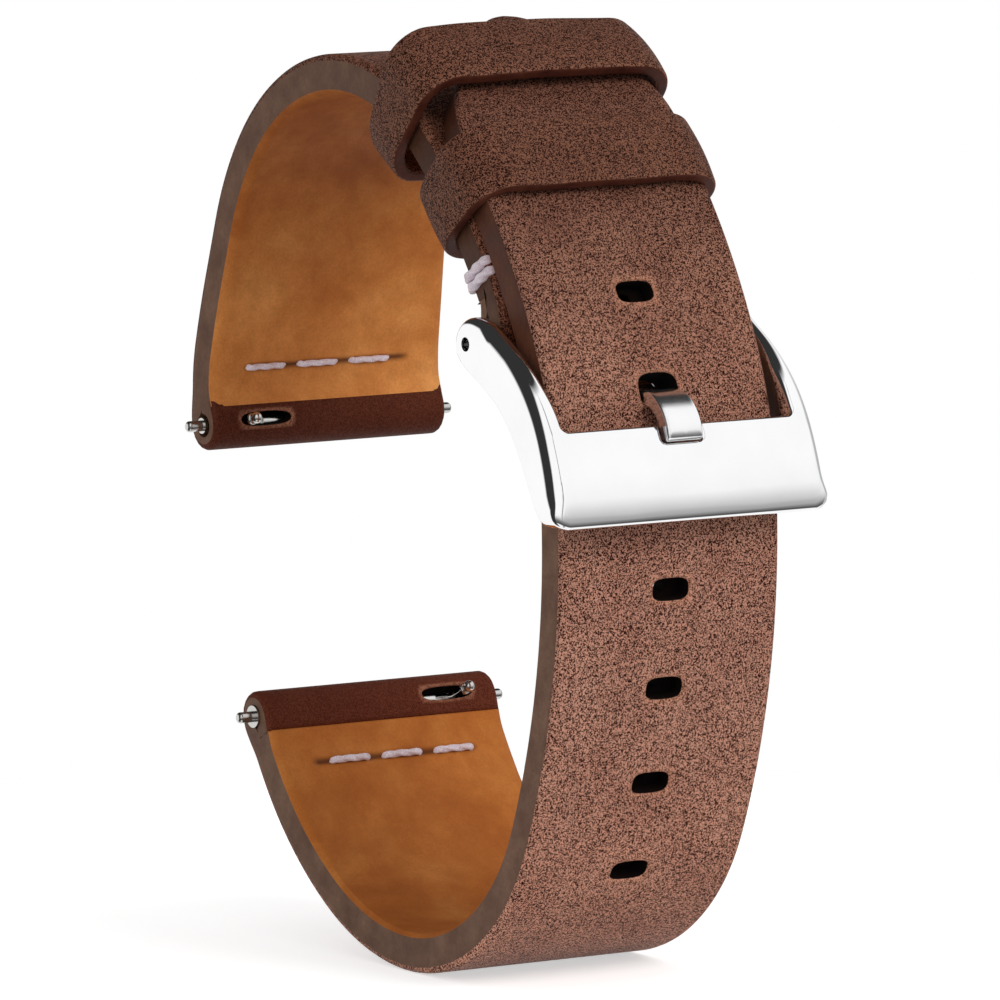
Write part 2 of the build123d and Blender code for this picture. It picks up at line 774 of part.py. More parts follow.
# buckle frame: side outline, opening for the strap, notch for the tongue, rounded edges
with BuildPart() as buckle_frame:
    with BuildSketch(Plane.YZ):
        with BuildLine():
            round_end = CenterArc(buckle_bar - Vector(frame_end_offset, 0), frame_end_radius,
                                  frame_end_start_angle, frame_end_sweep)
            outer_edge = Spline([round_end @ 1] + [buckle_bar + Vector(point) for point in frame_outer_points],
                                tangents=(round_end % 1, Vector(frame_outer_points[-1]) - Vector(frame_outer_points[-2])))
            inner_edge = Spline([buckle_bar + Vector(point) for point in frame_inner_points] + [round_end @ 0],
                                tangents=(Vector(frame_inner_points[1]) - Vector(frame_inner_points[0]), round_end % 0))
            Polyline([outer_edge @ 1] + [buckle_bar + Vector(point) for point in frame_foot_points] + [inner_edge @ 0])
        make_face()
    extrude(amount=frame_foot_width / 2, both=True)
    with BuildSketch(Plane.XZ.offset(-buckle_bar.X)) as front_view:
        with BuildLine():
            foot = buckle_bar.Y + frame_foot_points[-1][1]
            Polyline(
                (-frame_pivot_width / 2, buckle_bar.Y + frame_end_radius),
                (-frame_foot_width / 2, foot),
                (frame_foot_width / 2, foot),
                (frame_pivot_width / 2, buckle_bar.Y + frame_end_radius),
                close=True,
            )
        make_face()
        fillet(front_view.vertices().group_by(Axis.Y)[0], foot_corner_radius)
    extrude(amount=strap_reach, both=True, mode=Mode.INTERSECT)
    sides = [buckle_frame.edges().filter_by(
        lambda edge: edge.position_at(0.5).X * side > frame_opening_width / 2
        and edge.length > frame_end_radius * 4).sort_by(Axis.Y)[0] for side in (-1, 1)]
    fillet(sides, frame_side_round)
    foot_edge = buckle_frame.edges().filter_by(Axis.X).sort_by_distance(
        (0, *(buckle_bar + Vector(frame_foot_points[0]))))[0]
    fillet(foot_edge, frame_foot_round)
    with BuildSketch(Plane.YZ):
        add(band(long_bends, -plate_gap, strap_thickness + 2 * overrun))
    extrude(amount=frame_opening_width / 2, both=True, mode=Mode.SUBTRACT)
    plate_top = seat(long_bends, plate_top_distance)
    with BuildSketch(plate_top) as opening:
        Rectangle(frame_opening_width, 4 * overrun, align=(Align.CENTER, Align.MIN))
        fillet(opening.vertices().group_by(Axis.Y)[0], plate_corner_radius)
    extrude(amount=overrun, both=True, mode=Mode.SUBTRACT)
    with BuildSketch(plate_top):
        RectangleRounded(notch_width, 2 * notch_depth, notch_corner_radius)
    extrude(amount=overrun, both=True, mode=Mode.SUBTRACT)
    with BuildSketch(Plane.YZ):
        with Locations(buckle_bar):
            Circle(frame_pivot_hole_radius)
    extrude(amount=frame_foot_width, both=True, mode=Mode.SUBTRACT)

with BuildPart() as upper_bar_tube:
    add(bar_tube(upper_plane))
with BuildPart() as upper_bar_fixed_tip:
    add(bar_fixed_tip(upper_plane))
with BuildPart() as upper_bar_plunger:
    add(bar_plunger(upper_plane))
with BuildPart() as upper_bar_lever:
    add(bar_lever(upper_plane))
with BuildPart() as upper_bar_spring:
    add(bar_spring(upper_plane))
with BuildPart() as lower_bar_tube:
    add(bar_tube(lower_plane))
with BuildPart() as lower_bar_fixed_tip:
    add(bar_fixed_tip(lower_plane))
with BuildPart() as lower_bar_plunger:
    add(bar_plunger(lower_plane))
with BuildPart() as lower_bar_lever:
    add(bar_lever(lower_plane))
with BuildPart() as lower_bar_spring:
    add(bar_spring(lower_plane))
with BuildPart() as buckle_bar_plunger_right:
    add(buckle_plunger(buckle_plane))
with BuildPart() as buckle_bar_plunger_left:
    add(buckle_plunger(buckle_plane_left))
with BuildPart() as buckle_bar_spring:
    spring_half = buckle_head_inner_end - spring_end_gap
    add(coil_spring(buckle_plane, -spring_half, spring_half, buckle_spring_turns, buckle_spring_radius))

long_strap_outer.part.label = "long_strap_outer"
long_strap_lining.part.label = "long_strap_lining"
long_strap_stitches.part.label = "long_strap_stitches"
short_strap_outer.part.label = "short_strap_outer"
short_strap_lining.part.label = "short_strap_lining"
short_strap_lug_stitches.part.label = "short_strap_lug_stitches"
short_strap_buckle_stitches.part.label = "short_strap_buckle_stitches"
fixed_keeper.part.label = "fixed_keeper"
free_keeper.part.label = "free_keeper"
upper_bar_tube.part.label = "upper_bar_tube"
upper_bar_fixed_tip.part.label = "upper_bar_fixed_tip"
upper_bar_plunger.part.label = "upper_bar_plunger"
upper_bar_lever.part.label = "upper_bar_lever"
upper_bar_spring.part.label = "upper_bar_spring"
lower_bar_tube.part.label = "lower_bar_tube"
lower_bar_fixed_tip.part.label = "lower_bar_fixed_tip"
lower_bar_plunger.part.label = "lower_bar_plunger"
lower_bar_lever.part.label = "lower_bar_lever"
lower_bar_spring.part.label = "lower_bar_spring"
buckle_frame.part.label = "buckle_frame"
tongue.part.label = "buckle_tongue"
buckle_bar_tube.part.label = "buckle_bar_tube"
buckle_bar_plunger_right.part.label = "buckle_bar_plunger_right"
buckle_bar_plunger_left.part.label = "buckle_bar_plunger_left"
buckle_bar_spring.part.label = "buckle_bar_spring"

export_step(long_strap_outer.part, "parts/long_strap_outer.step")
export_step(long_strap_lining.part, "parts/long_strap_lining.step")
export_step(long_strap_stitches.part, "parts/long_strap_stitches.step")
export_step(short_strap_outer.part, "parts/short_strap_outer.step")
export_step(short_strap_lining.part, "parts/short_strap_lining.step")
export_step(short_strap_lug_stitches.part, "parts/short_strap_lug_stitches.step")
export_step(short_strap_buckle_stitches.part, "parts/short_strap_buckle_stitches.step")
export_step(fixed_keeper.part, "parts/fixed_keeper.step")
export_step(free_keeper.part, "parts/free_keeper.step")
export_step(upper_bar_tube.part, "parts/upper_bar_tube.step")
export_step(upper_bar_fixed_tip.part, "parts/upper_bar_fixed_tip.step")
export_step(upper_bar_plunger.part, "parts/upper_bar_plunger.step")
export_step(upper_bar_lever.part, "parts/upper_bar_lever.step")
export_step(upper_bar_spring.part, "parts/upper_bar_spring.step")
export_step(lower_bar_tube.part, "parts/lower_bar_tube.step")
export_step(lower_bar_fixed_tip.part, "parts/lower_bar_fixed_tip.step")
export_step(lower_bar_plunger.part, "parts/lower_bar_plunger.step")
export_step(lower_bar_lever.part, "parts/lower_bar_lever.step")
export_step(lower_bar_spring.part, "parts/lower_bar_spring.step")
export_step(buckle_frame.part, "parts/buckle_frame.step")
export_step(tongue.part, "parts/buckle_tongue.step")
export_step(buckle_bar_tube.part, "parts/buckle_bar_tube.step")
export_step(buckle_bar_plunger_right.part, "parts/buckle_bar_plunger_right.step")
export_step(buckle_bar_plunger_left.part, "parts/buckle_bar_plunger_left.step")
export_step(buckle_bar_spring.part, "parts/buckle_bar_spring.step")
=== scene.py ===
import bmesh
import bpy
import numpy as np
from mathutils import Matrix, Vector


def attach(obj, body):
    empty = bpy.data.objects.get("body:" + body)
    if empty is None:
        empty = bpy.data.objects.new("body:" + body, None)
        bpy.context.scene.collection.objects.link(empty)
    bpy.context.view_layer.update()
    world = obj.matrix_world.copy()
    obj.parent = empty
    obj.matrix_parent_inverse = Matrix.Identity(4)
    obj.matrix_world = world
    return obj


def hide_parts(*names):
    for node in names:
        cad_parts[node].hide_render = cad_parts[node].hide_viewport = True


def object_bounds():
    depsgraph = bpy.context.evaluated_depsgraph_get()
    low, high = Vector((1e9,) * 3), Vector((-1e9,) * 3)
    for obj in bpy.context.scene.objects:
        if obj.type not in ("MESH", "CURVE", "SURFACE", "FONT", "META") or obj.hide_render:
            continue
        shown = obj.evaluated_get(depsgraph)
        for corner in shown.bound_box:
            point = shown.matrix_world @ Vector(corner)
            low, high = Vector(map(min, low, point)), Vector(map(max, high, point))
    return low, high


# Looks for a leather watch strap buckled into a loop. Lengths in the dictionaries are millimetres.
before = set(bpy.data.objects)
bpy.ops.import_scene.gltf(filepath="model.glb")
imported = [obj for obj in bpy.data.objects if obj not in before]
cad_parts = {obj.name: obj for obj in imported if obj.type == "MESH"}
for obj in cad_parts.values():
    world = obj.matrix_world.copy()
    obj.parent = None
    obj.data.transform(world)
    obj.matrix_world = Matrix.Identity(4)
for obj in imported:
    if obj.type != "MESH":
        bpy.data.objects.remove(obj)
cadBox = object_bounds()
mm = 0.001
print("frame loaded")

strap = {
    "lugWidth": 19.6, "buckleWidth": 18.0, "leather": 1.45, "lining": 1.35, "tailGap": 0.1,
    "leatherRound": 0.45, "liningRound": 0.3, "cutRound": 0.0,
    "shortRadii": (14.57, 142.8, 17.07, 43.03),
    "shortAngles": (-13.72, 10.77, 14.49, 128.46, 152.32),
    "longRadii": (29.27, 54.67, 17.03, 31.03),
    "longAngles": (156.99, 176.67, 202.58, 304.12, 334.54),
    "tipAngle": 105.0, "taperEndAngle": 268.0, "buckleBarInset": 2.54,
    "lugWrap": 1.8, "lugBore": 0.85, "lugFold": 3.5, "buckleWrap": 1.95, "buckleBore": 1.0, "buckleFold": 5.2,
    "runIn": 3.2, "leadAngle": 14.0,
    "noseRadius": 3.2, "pointLength": 8.5, "shoulderRadius": 7.0, "tipLift": 0.55, "tipLiftReach": 3.6,
    "tipSwing": 1.35, "tipSwingReach": 19.0,
    "step": 0.55, "lineStep": 0.1,
}
thickness = strap["leather"] + strap["lining"]
stackGap = thickness + strap["tailGap"]


# unit vectors at angles in the strap's side view: (cosine, sine)
def unit(angle):
    angle = np.radians(angle)
    return np.stack([np.cos(angle), np.sin(angle)], -1)


# tangent arcs one after another: each centre lies on the last normal, shifted by the change of radius
def bendChain(centre, radii, angles):
    bends = []
    for index, radius in enumerate(radii):
        bends.append((np.array(centre), radius, angles[index], angles[index + 1]))
        if index + 1 < len(radii):
            centre = centre + unit(angles[index + 1]) * (radius - radii[index + 1])
    return bends


def chainLength(bends):
    return sum(radius * abs(np.radians(last - first)) for centre, radius, first, last in bends)


# points on the chain: the bend's centre plus its radius less the depth, along the normal turned by distance
# / radius
def chainPoint(bends, distance, depth=0.0):
    distance = np.asarray(distance, float)
    lengths = np.array([radius * abs(np.radians(last - first)) for centre, radius, first, last in bends])
    starts = np.concatenate([[0], np.cumsum(lengths)[:-1]])
    pick = np.clip(np.searchsorted(starts, distance, side="right") - 1, 0, len(bends) - 1)
    centres = np.array([bend[0] for bend in bends])[pick]
    radii = np.array([bend[1] for bend in bends])[pick]
    firsts = np.array([bend[2] for bend in bends])[pick]
    turns = np.array([np.sign(bend[3] - bend[2]) for bend in bends])[pick]
    normals = unit(firsts + turns * np.degrees((distance - starts[pick]) / radii))
    return centres + (radii - depth)[..., None] * normals


lugStart = unit(strap["shortAngles"][0]) * (thickness / 2 - strap["shortRadii"][0])
shortBends = bendChain(lugStart, strap["shortRadii"], strap["shortAngles"])
crestCentre, crestRadius = shortBends[2][0], strap["shortRadii"][2]
shoulderCentre, shoulderRadius = shortBends[3][0], strap["shortRadii"][3]
crestEnd = strap["shortAngles"][3]
longBends = bendChain(
    crestCentre,
    (crestRadius + stackGap, shoulderRadius + stackGap) + strap["longRadii"],
    (strap["tipAngle"], crestEnd) + strap["longAngles"],
)
shortReach, longReach = chainLength(shortBends), chainLength(longBends)
upperBar = np.zeros(2)
lowerBar = longBends[-1][0] + unit(strap["longAngles"][-1]) * (strap["longRadii"][-1] - thickness / 2)
buckleBar = shoulderCentre + unit(strap["shortAngles"][-1]) * (shoulderRadius - strap["buckleBarInset"])


# a smooth curve between two points that leaves and arrives along given directions: cubic Hermite
def smoothJoin(start, startWay, end, endWay, count):
    t = np.linspace(0, 1, count)[:, None]
    reach = np.linalg.norm(end - start)
    return ((2 * t**3 - 3 * t**2 + 1) * start + (t**3 - 2 * t**2 + t) * reach * startWay
            + (3 * t**2 - 2 * t**3) * end + (t**3 - t**2) * reach * endWay)


# how far along a line each of its points is
def runOf(points):
    return np.concatenate([[0], np.cumsum(np.linalg.norm(np.diff(points, axis=0), axis=1))])


# a table's rows at places between its own ones, column by column
def rowsAt(places, known, table):
    return np.stack([np.interp(places, known, column) for column in table.T], -1)


# the same line with its points evenly spaced by length
def evenly(points, count):
    run = runOf(points)
    return rowsAt(np.linspace(0, run[-1], count), run, points)


# 3t^2 - 2t^3, from 0 at the start of a stretch to 1 at its end
def smoothStep(values, start, length):
    share = np.clip((values - start) / length, 0, 1)
    return share * share * (3 - 2 * share)


# a leather's fold round a bar: outer line over the bar and back inside, inner line round the bore, matched
# point by point. Given back with the distance where it begins, and with the line that the lining's inner
# face follows there
def foldRound(bends, bar, wrapRadius, boreRadius, foldLength):
    overCount, arcCount, boreCount, step = 40, 60, 30, 0.01
    reach = chainLength(bends)
    last = bends[-1]
    turn = np.sign(last[3] - last[2])
    endAngle = last[3]
    begin = reach - strap["runIn"]
    startPoint, backPoint = [chainPoint(bends, [begin], depth)[0] for depth in (0.0, thickness)]
    along = (chainPoint(bends, [begin + step], 0.0)[0] - startPoint) / step
    along = along / np.linalg.norm(along)
    firstAngle = endAngle + turn * strap["leadAngle"]
    lastAngle = endAngle + turn * (180 - strap["leadAngle"])
    wrapStart = bar + wrapRadius * unit(firstAngle)
    over = smoothJoin(startPoint, along, wrapStart, unit(firstAngle + turn * 90), overCount)
    arcAngles = np.linspace(firstAngle, lastAngle, arcCount)
    arc = bar + wrapRadius * unit(arcAngles)
    back = smoothJoin(arc[-1], unit(lastAngle + turn * 90), backPoint, -along, arcCount)
    back = back[(back - bar) @ -unit(endAngle + turn * 90) < foldLength - wrapRadius]
    foldEnd = reach - (foldLength - wrapRadius)
    inStart, inEnd = [chainPoint(bends, [place], strap["leather"])[0] for place in (begin, foldEnd)]
    boreArc = bar + boreRadius * unit(np.linspace(endAngle - turn * 90, firstAngle, boreCount))
    inOver = evenly(np.concatenate([[inStart], boreArc]), overCount)
    inArc = bar + boreRadius * unit(arcAngles)
    boreBack = bar + boreRadius * unit(np.linspace(lastAngle, endAngle + turn * 270, boreCount))
    inBack = evenly(np.concatenate([boreBack, [inEnd]]), len(back))
    outer = np.concatenate([over, arc[1:], back[1:]])
    inner = np.concatenate([inOver, inArc[1:], inBack[1:]])
    return begin, outer, inner, smoothJoin(backPoint, along, arc[-1], -unit(lastAngle + turn * 90), arcCount)


# a strap layer's lines: tables of outer and inner points by distance
def layerLine(places, outer, inner):
    return {"s": places, "outer": outer, "inner": inner, "swing": 0 * places}


# the free tip curls away from the strap: a lift that grows as the 1.5th power towards the end. It also
# swings aside by the smooth step
def tipCurled(line):
    share = np.clip(1 - line["s"] / strap["tipLiftReach"], 0, 1) ** 1.5
    way = line["outer"] - line["inner"]
    lift = strap["tipLift"] * share[:, None] * way / np.linalg.norm(way, axis=1, keepdims=True)
    curled = layerLine(line["s"], line["outer"] + lift, line["inner"] + lift)
    curled["swing"] = strap["tipSwing"] * smoothStep(1 - line["s"] / strap["tipSwingReach"], 0, 1)
    return curled


def lineAt(line, s, side):
    return rowsAt(s, line["s"], line[side])


# puts (distance, across, depth) into space: the outer point moved by the depth towards the inner one, with
# the place across on X
def placed(line, s, x, depth):
    outer, inner = lineAt(line, s, "outer"), lineAt(line, s, "inner")
    way = inner - outer
    way = way / np.linalg.norm(way, axis=-1, keepdims=True)
    point = outer + way * depth[..., None]
    return np.stack([x + np.interp(s, line["s"], line["swing"]), point[..., 0], point[..., 1]], -1) * mm


# the same bends, run from their other end
def backwards(bends):
    return [(centre, radius, last, first) for centre, radius, first, last in reversed(bends)]


# leather that folds round a bar at its far end, or at both ends
def leatherLine(bends, farFold, nearFold=None):
    begin, outer, inner, ignored = foldRound(bends, *farFold)
    start, lead = 0.0, []
    if nearFold:
        nearBegin, nearOuter, nearInner, ignored = foldRound(backwards(bends), *nearFold)
        start = chainLength(bends) - nearBegin
        lead = [[table[:0:-1] for table in (start - runOf(nearOuter), nearOuter, nearInner)]]
    places = np.arange(start, begin, strap["lineStep"])
    parts = lead + [(places, chainPoint(bends, places), chainPoint(bends, places, strap["leather"])),
                    (begin + runOf(outer), outer, inner)]
    return layerLine(*[np.concatenate(tables) for tables in zip(*parts)])


# lining between the folds: its inner face follows the fold's run-in near a bar, picked from a fine table
def liningLine(bends, start, farFold, nearFold=None):
    fineCount = 400
    reach = chainLength(bends)
    ignored, wrapRadius, ignored, foldLength = farFold
    places = np.arange(start, reach - (foldLength - wrapRadius), strap["lineStep"])
    inner = chainPoint(bends, places, thickness)
    for fold, chain, reached in ((farFold, bends, places), (nearFold, backwards(bends), reach - places)):
        if fold:
            begin, ignored, ignored, runIn = foldRound(chain, *fold)
            near = reached > begin
            steps = (reached[near] - begin) / runOf(runIn)[-1] * (fineCount - 1)
            inner[near] = evenly(runIn, fineCount)[np.clip(steps.astype(int), 0, fineCount - 1)]
    return layerLine(places, chainPoint(bends, places, strap["leather"]), inner)


# a polyline outline with its corners rounded by arcs of given radii
def roundedOutline(corners, radii):
    corners = np.array(corners, float)
    points = [corners[0]]
    for before, corner, after, radius in zip(corners[:-2], corners[1:-1], corners[2:], radii):
        inWay = (corner - before) / np.linalg.norm(corner - before)
        outWay = (after - corner) / np.linalg.norm(after - corner)
        half = np.arccos(np.clip(inWay @ outWay, -1, 1)) / 2
        cut = radius * np.tan(half)
        side = np.sign(inWay[0] * outWay[1] - inWay[1] * outWay[0])
        centre = corner - inWay * cut + side * radius * np.array([-inWay[1], inWay[0]])
        first = np.arctan2(*(corner - inWay * cut - centre)[::-1])
        sweep = np.linspace(0, side * 2 * half, 40)
        points += list(centre + radius * np.stack([np.cos(first + sweep), np.sin(first + sweep)], 1))
    points.append(corners[-1])
    return np.array(points)


# half the tail's width by its place on Y: the rounded point seen from above
tailTip = chainPoint(longBends, [0.0])[0]
tailCorners = [
    (tailTip[0] - 3 * strap["pointLength"], strap["buckleWidth"] / 2),
    (tailTip[0] - strap["pointLength"], strap["buckleWidth"] / 2),
    (tailTip[0] + strap["noseRadius"] / 2, 0),
    (tailTip[0] - strap["pointLength"], -strap["buckleWidth"] / 2),
    (tailTip[0] - 3 * strap["pointLength"], -strap["buckleWidth"] / 2),
]
tailRadii = (strap["shoulderRadius"], strap["noseRadius"], strap["shoulderRadius"])
tailOutline = roundedOutline(tailCorners, tailRadii)
tailOutline = tailOutline[tailOutline[:, 1] >= 0]


# two equal bends from one width to the other: twice the square of the share, mirrored past the middle
def easedWidth(share):
    share = np.clip(share, 0, 1)
    eased = np.where(share < 0.5, 2 * share**2, 1 - 2 * (1 - share) ** 2)
    return (strap["buckleWidth"] + (strap["lugWidth"] - strap["buckleWidth"]) * eased) / 2


def longHalfWidth(s):
    heel = longBends[4][0]
    taperEnd = heel + unit(strap["taperEndAngle"]) * strap["longRadii"][2]
    points = chainPoint(longBends, np.minimum(s, longReach))
    lower = easedWidth((points[..., 0] - taperEnd[0]) / (lowerBar[0] - taperEnd[0]))
    upper = np.interp(points[..., 0], tailOutline[:, 0], tailOutline[:, 1], right=0.0)
    upper = np.where(s < 3 * strap["pointLength"], upper, strap["buckleWidth"] / 2)
    return np.where(s > longReach / 2, lower, upper)


def shortHalfWidth(s):
    points = chainPoint(shortBends, np.clip(s, 0, shortReach))
    top = crestCentre[1] + crestRadius - 2 * thickness
    eased = easedWidth((top - points[..., 1]) / top)
    return np.where(points[..., 0] > crestCentre[0], eased, strap["buckleWidth"] / 2)


smoothAll = 180.0  # a sharp angle that no edge passes


# joins blocks of (points, faces, material index, edge values, along values) into one mesh, merging points
# that coincide
def makeMesh(name, blocks, materials, sharpAngle=42.0):
    weldGap = 2e-7
    points = np.concatenate([block[0] for block in blocks])
    starts = np.cumsum([0] + [len(block[0]) for block in blocks])
    spread = [[np.broadcast_to(value, len(block[0])) for value in block[3:]] for block in blocks]
    edgeValues, alongValues = [np.concatenate(parts) for parts in zip(*spread)]
    cells = np.round(points / weldGap).astype(np.int64)
    ignored, first, inverse = np.unique(cells, axis=0, return_index=True, return_inverse=True)
    inverse = inverse.ravel()
    faces, slots = [], []
    for block, start in zip(blocks, starts):
        welded = inverse[np.asarray(block[1]) + start]
        for face in welded.tolist():
            kept = [corner for index, corner in enumerate(face) if corner != face[index - 1]]
            if len(set(kept)) > 2 and len(set(kept)) == len(kept):
                faces.append(kept)
                slots.append(block[2])
    mesh = bpy.data.meshes.new(name)
    mesh.from_pydata(points[first].tolist(), [], faces)
    mesh.polygons.foreach_set("material_index", slots)
    mesh.polygons.foreach_set("use_smooth", [True] * len(faces))
    for label, values in (("edge", edgeValues), ("along", alongValues)):
        attribute = mesh.attributes.new(label, "FLOAT", "POINT")
        attribute.data.foreach_set("value", values[first].astype(np.float32))
    for material in materials:
        mesh.materials.append(material)
    shape = bmesh.new()
    shape.from_mesh(mesh)
    bmesh.ops.recalc_face_normals(shape, faces=shape.faces)
    limit = np.radians(sharpAngle)
    for edge in shape.edges:
        edge.smooth = not (len(edge.link_faces) == 2 and edge.calc_face_angle() > limit)
    shape.to_mesh(mesh)
    shape.free()
    piece = bpy.data.objects.new(name, mesh)
    bpy.context.scene.collection.objects.link(piece)
    return piece


# faces of a grid of points laid row by row; closed joins the last column to the first, looped the last row
def gridFaces(rows, columns, closed=False, looped=False):
    index = np.arange(rows * columns).reshape(rows, columns)
    if closed:
        index = np.concatenate([index, index[:, :1]], 1)
    if looped:
        index = np.concatenate([index, index[:1]], 0)
    return np.stack([index[:-1, :-1], index[1:, :-1], index[1:, 1:], index[:-1, 1:]], -1).reshape(-1, 4)


# the border of a grid of points, run round once
def borderOf(patch):
    return np.concatenate([patch[0, :-1], patch[:-1, -1], patch[-1, :0:-1], patch[:0:-1, 0]])


# which faces of a grid lie between two of its corners, each a row and a column
def facesWithin(faces, columns, low, high):
    row, column = np.divmod(faces[:, 0], columns)
    return (row >= low[0]) & (row < high[0]) & (column >= low[1]) & (column < high[1])


# the least distance from points to a line
def lineGap(line, spots):
    start, span = line[:-1], np.diff(line, axis=0)
    spots = spots[:, None]
    share = np.clip(((spots - start) * span).sum(-1) / np.maximum((span**2).sum(-1), 1e-12), 0, 1)
    return np.linalg.norm(spots - (start + share[..., None] * span), axis=-1).min(1)


# how deep a rounded edge lies below the face: radius less the circle's height at that distance from the edge
def roundedDepth(gap, radius):
    inside = np.clip(radius - gap, 0, radius)
    return radius - np.sqrt(np.maximum(radius**2 - inside**2, 0))


faceSlot, edgeSlot, holeSlot = 0, 1, 2
# where a layer's grid is finer: shares of the end's rounding, millimetres behind the nose, shares of the
# edge's rounding and of the width, of a wall's height, and of the way from a hole's block to its rim, with
# the lift and the wear there
layerGrid = {
    "holeSteps": 8, "outlineCount": 260, "noseReach": 9.0, "endReach": 0.5, "holeMargin": 0.6,
    "endShares": np.array([0.0, 0.1, 0.3, 0.6, 1.0]),
    "nosePlaces": np.array([0.02, 0.08, 0.2, 0.4, 0.7, 1.1]),
    "rimShares": np.array([1.0, 0.62, 0.32, 0.12, 0.0]),
    "narrowShares": np.array([0.5, 0.34, 0.18, 0.07, 0.0]),
    "wallShares": np.array([0.0, 0.35, 0.7, 1.0]),
    "ringShares": np.array([0.0, 0.25, 0.5, 0.7, 0.84, 0.92, 0.97, 1.0]),
    "ringLips": np.array([0.0, 0.0, -0.35, -0.9, -0.8, -0.1, 0.9, 2.0]),
    "ringWear": np.array([0.0, 0.0, 0.3, 0.7, 0.9, 1.0, 1.0, 1.0]),
}


# rows along a layer: even steps, closer ones across each hole's block and at both ends, and those its look
# asks for. The holes come in the order of their places
def layerRows(line, holes, look):
    s0, s1 = line["s"][0], line["s"][-1]
    breaks = [s0] + [hole["s"] + side * hole["blockS"] for hole in holes for side in (-1, 1)] + [s1]
    rows = [[s1]]
    for index, (low, high) in enumerate(zip(breaks[:-1], breaks[1:])):
        count = layerGrid["holeSteps"] if index % 2 else max(2, int(np.ceil((high - low) / look["step"])))
        rows.append(np.linspace(low, high, count + 1)[:-1])
    endPlaces = look["endRound"] * layerGrid["endShares"]
    startPlaces = layerGrid["nosePlaces"] if look["nose"] else endPlaces
    extra = np.concatenate([s1 - endPlaces, s0 + startPlaces, look.get("extraRows", [])])
    for hole in holes:
        extra = extra[np.abs(extra - hole["s"]) >= hole["blockS"] + 0.02]
    return np.unique(np.round(np.concatenate(rows + [extra]), 6))


# places across a layer, row by row: fixed ones through the holes' blocks, drawn in where the strap is
# narrow, then even ones out to the rounded edges. Given back with the first fixed column
def layerColumns(widths, fixed, look):
    reach = np.minimum(look["round"] * layerGrid["rimShares"], widths[:, None] * layerGrid["narrowShares"])
    limit = (widths - reach[:, 0])[:, None]
    middle = fixed * np.clip(limit / (np.abs(fixed).max() + layerGrid["holeMargin"]), 0, 1)
    shares = np.linspace(0, 1, look["sideColumns"] + 1)[1:]
    right = middle[:, -1:] + (limit - middle[:, -1:]) * shares
    left = middle[:, :1] + (-limit - middle[:, :1]) * shares
    rim = widths[:, None] - reach[:, 1:]
    return np.concatenate([-rim[:, ::-1], left[:, ::-1], middle, right, rim], 1), rim.shape[1] + left.shape[1]


# the first and last of some sorted values in a hole's block
def blockSpan(values, middle, half):
    inside = np.nonzero(np.abs(values - middle) < half + 1e-4)[0]
    return inside[0], inside[-1]


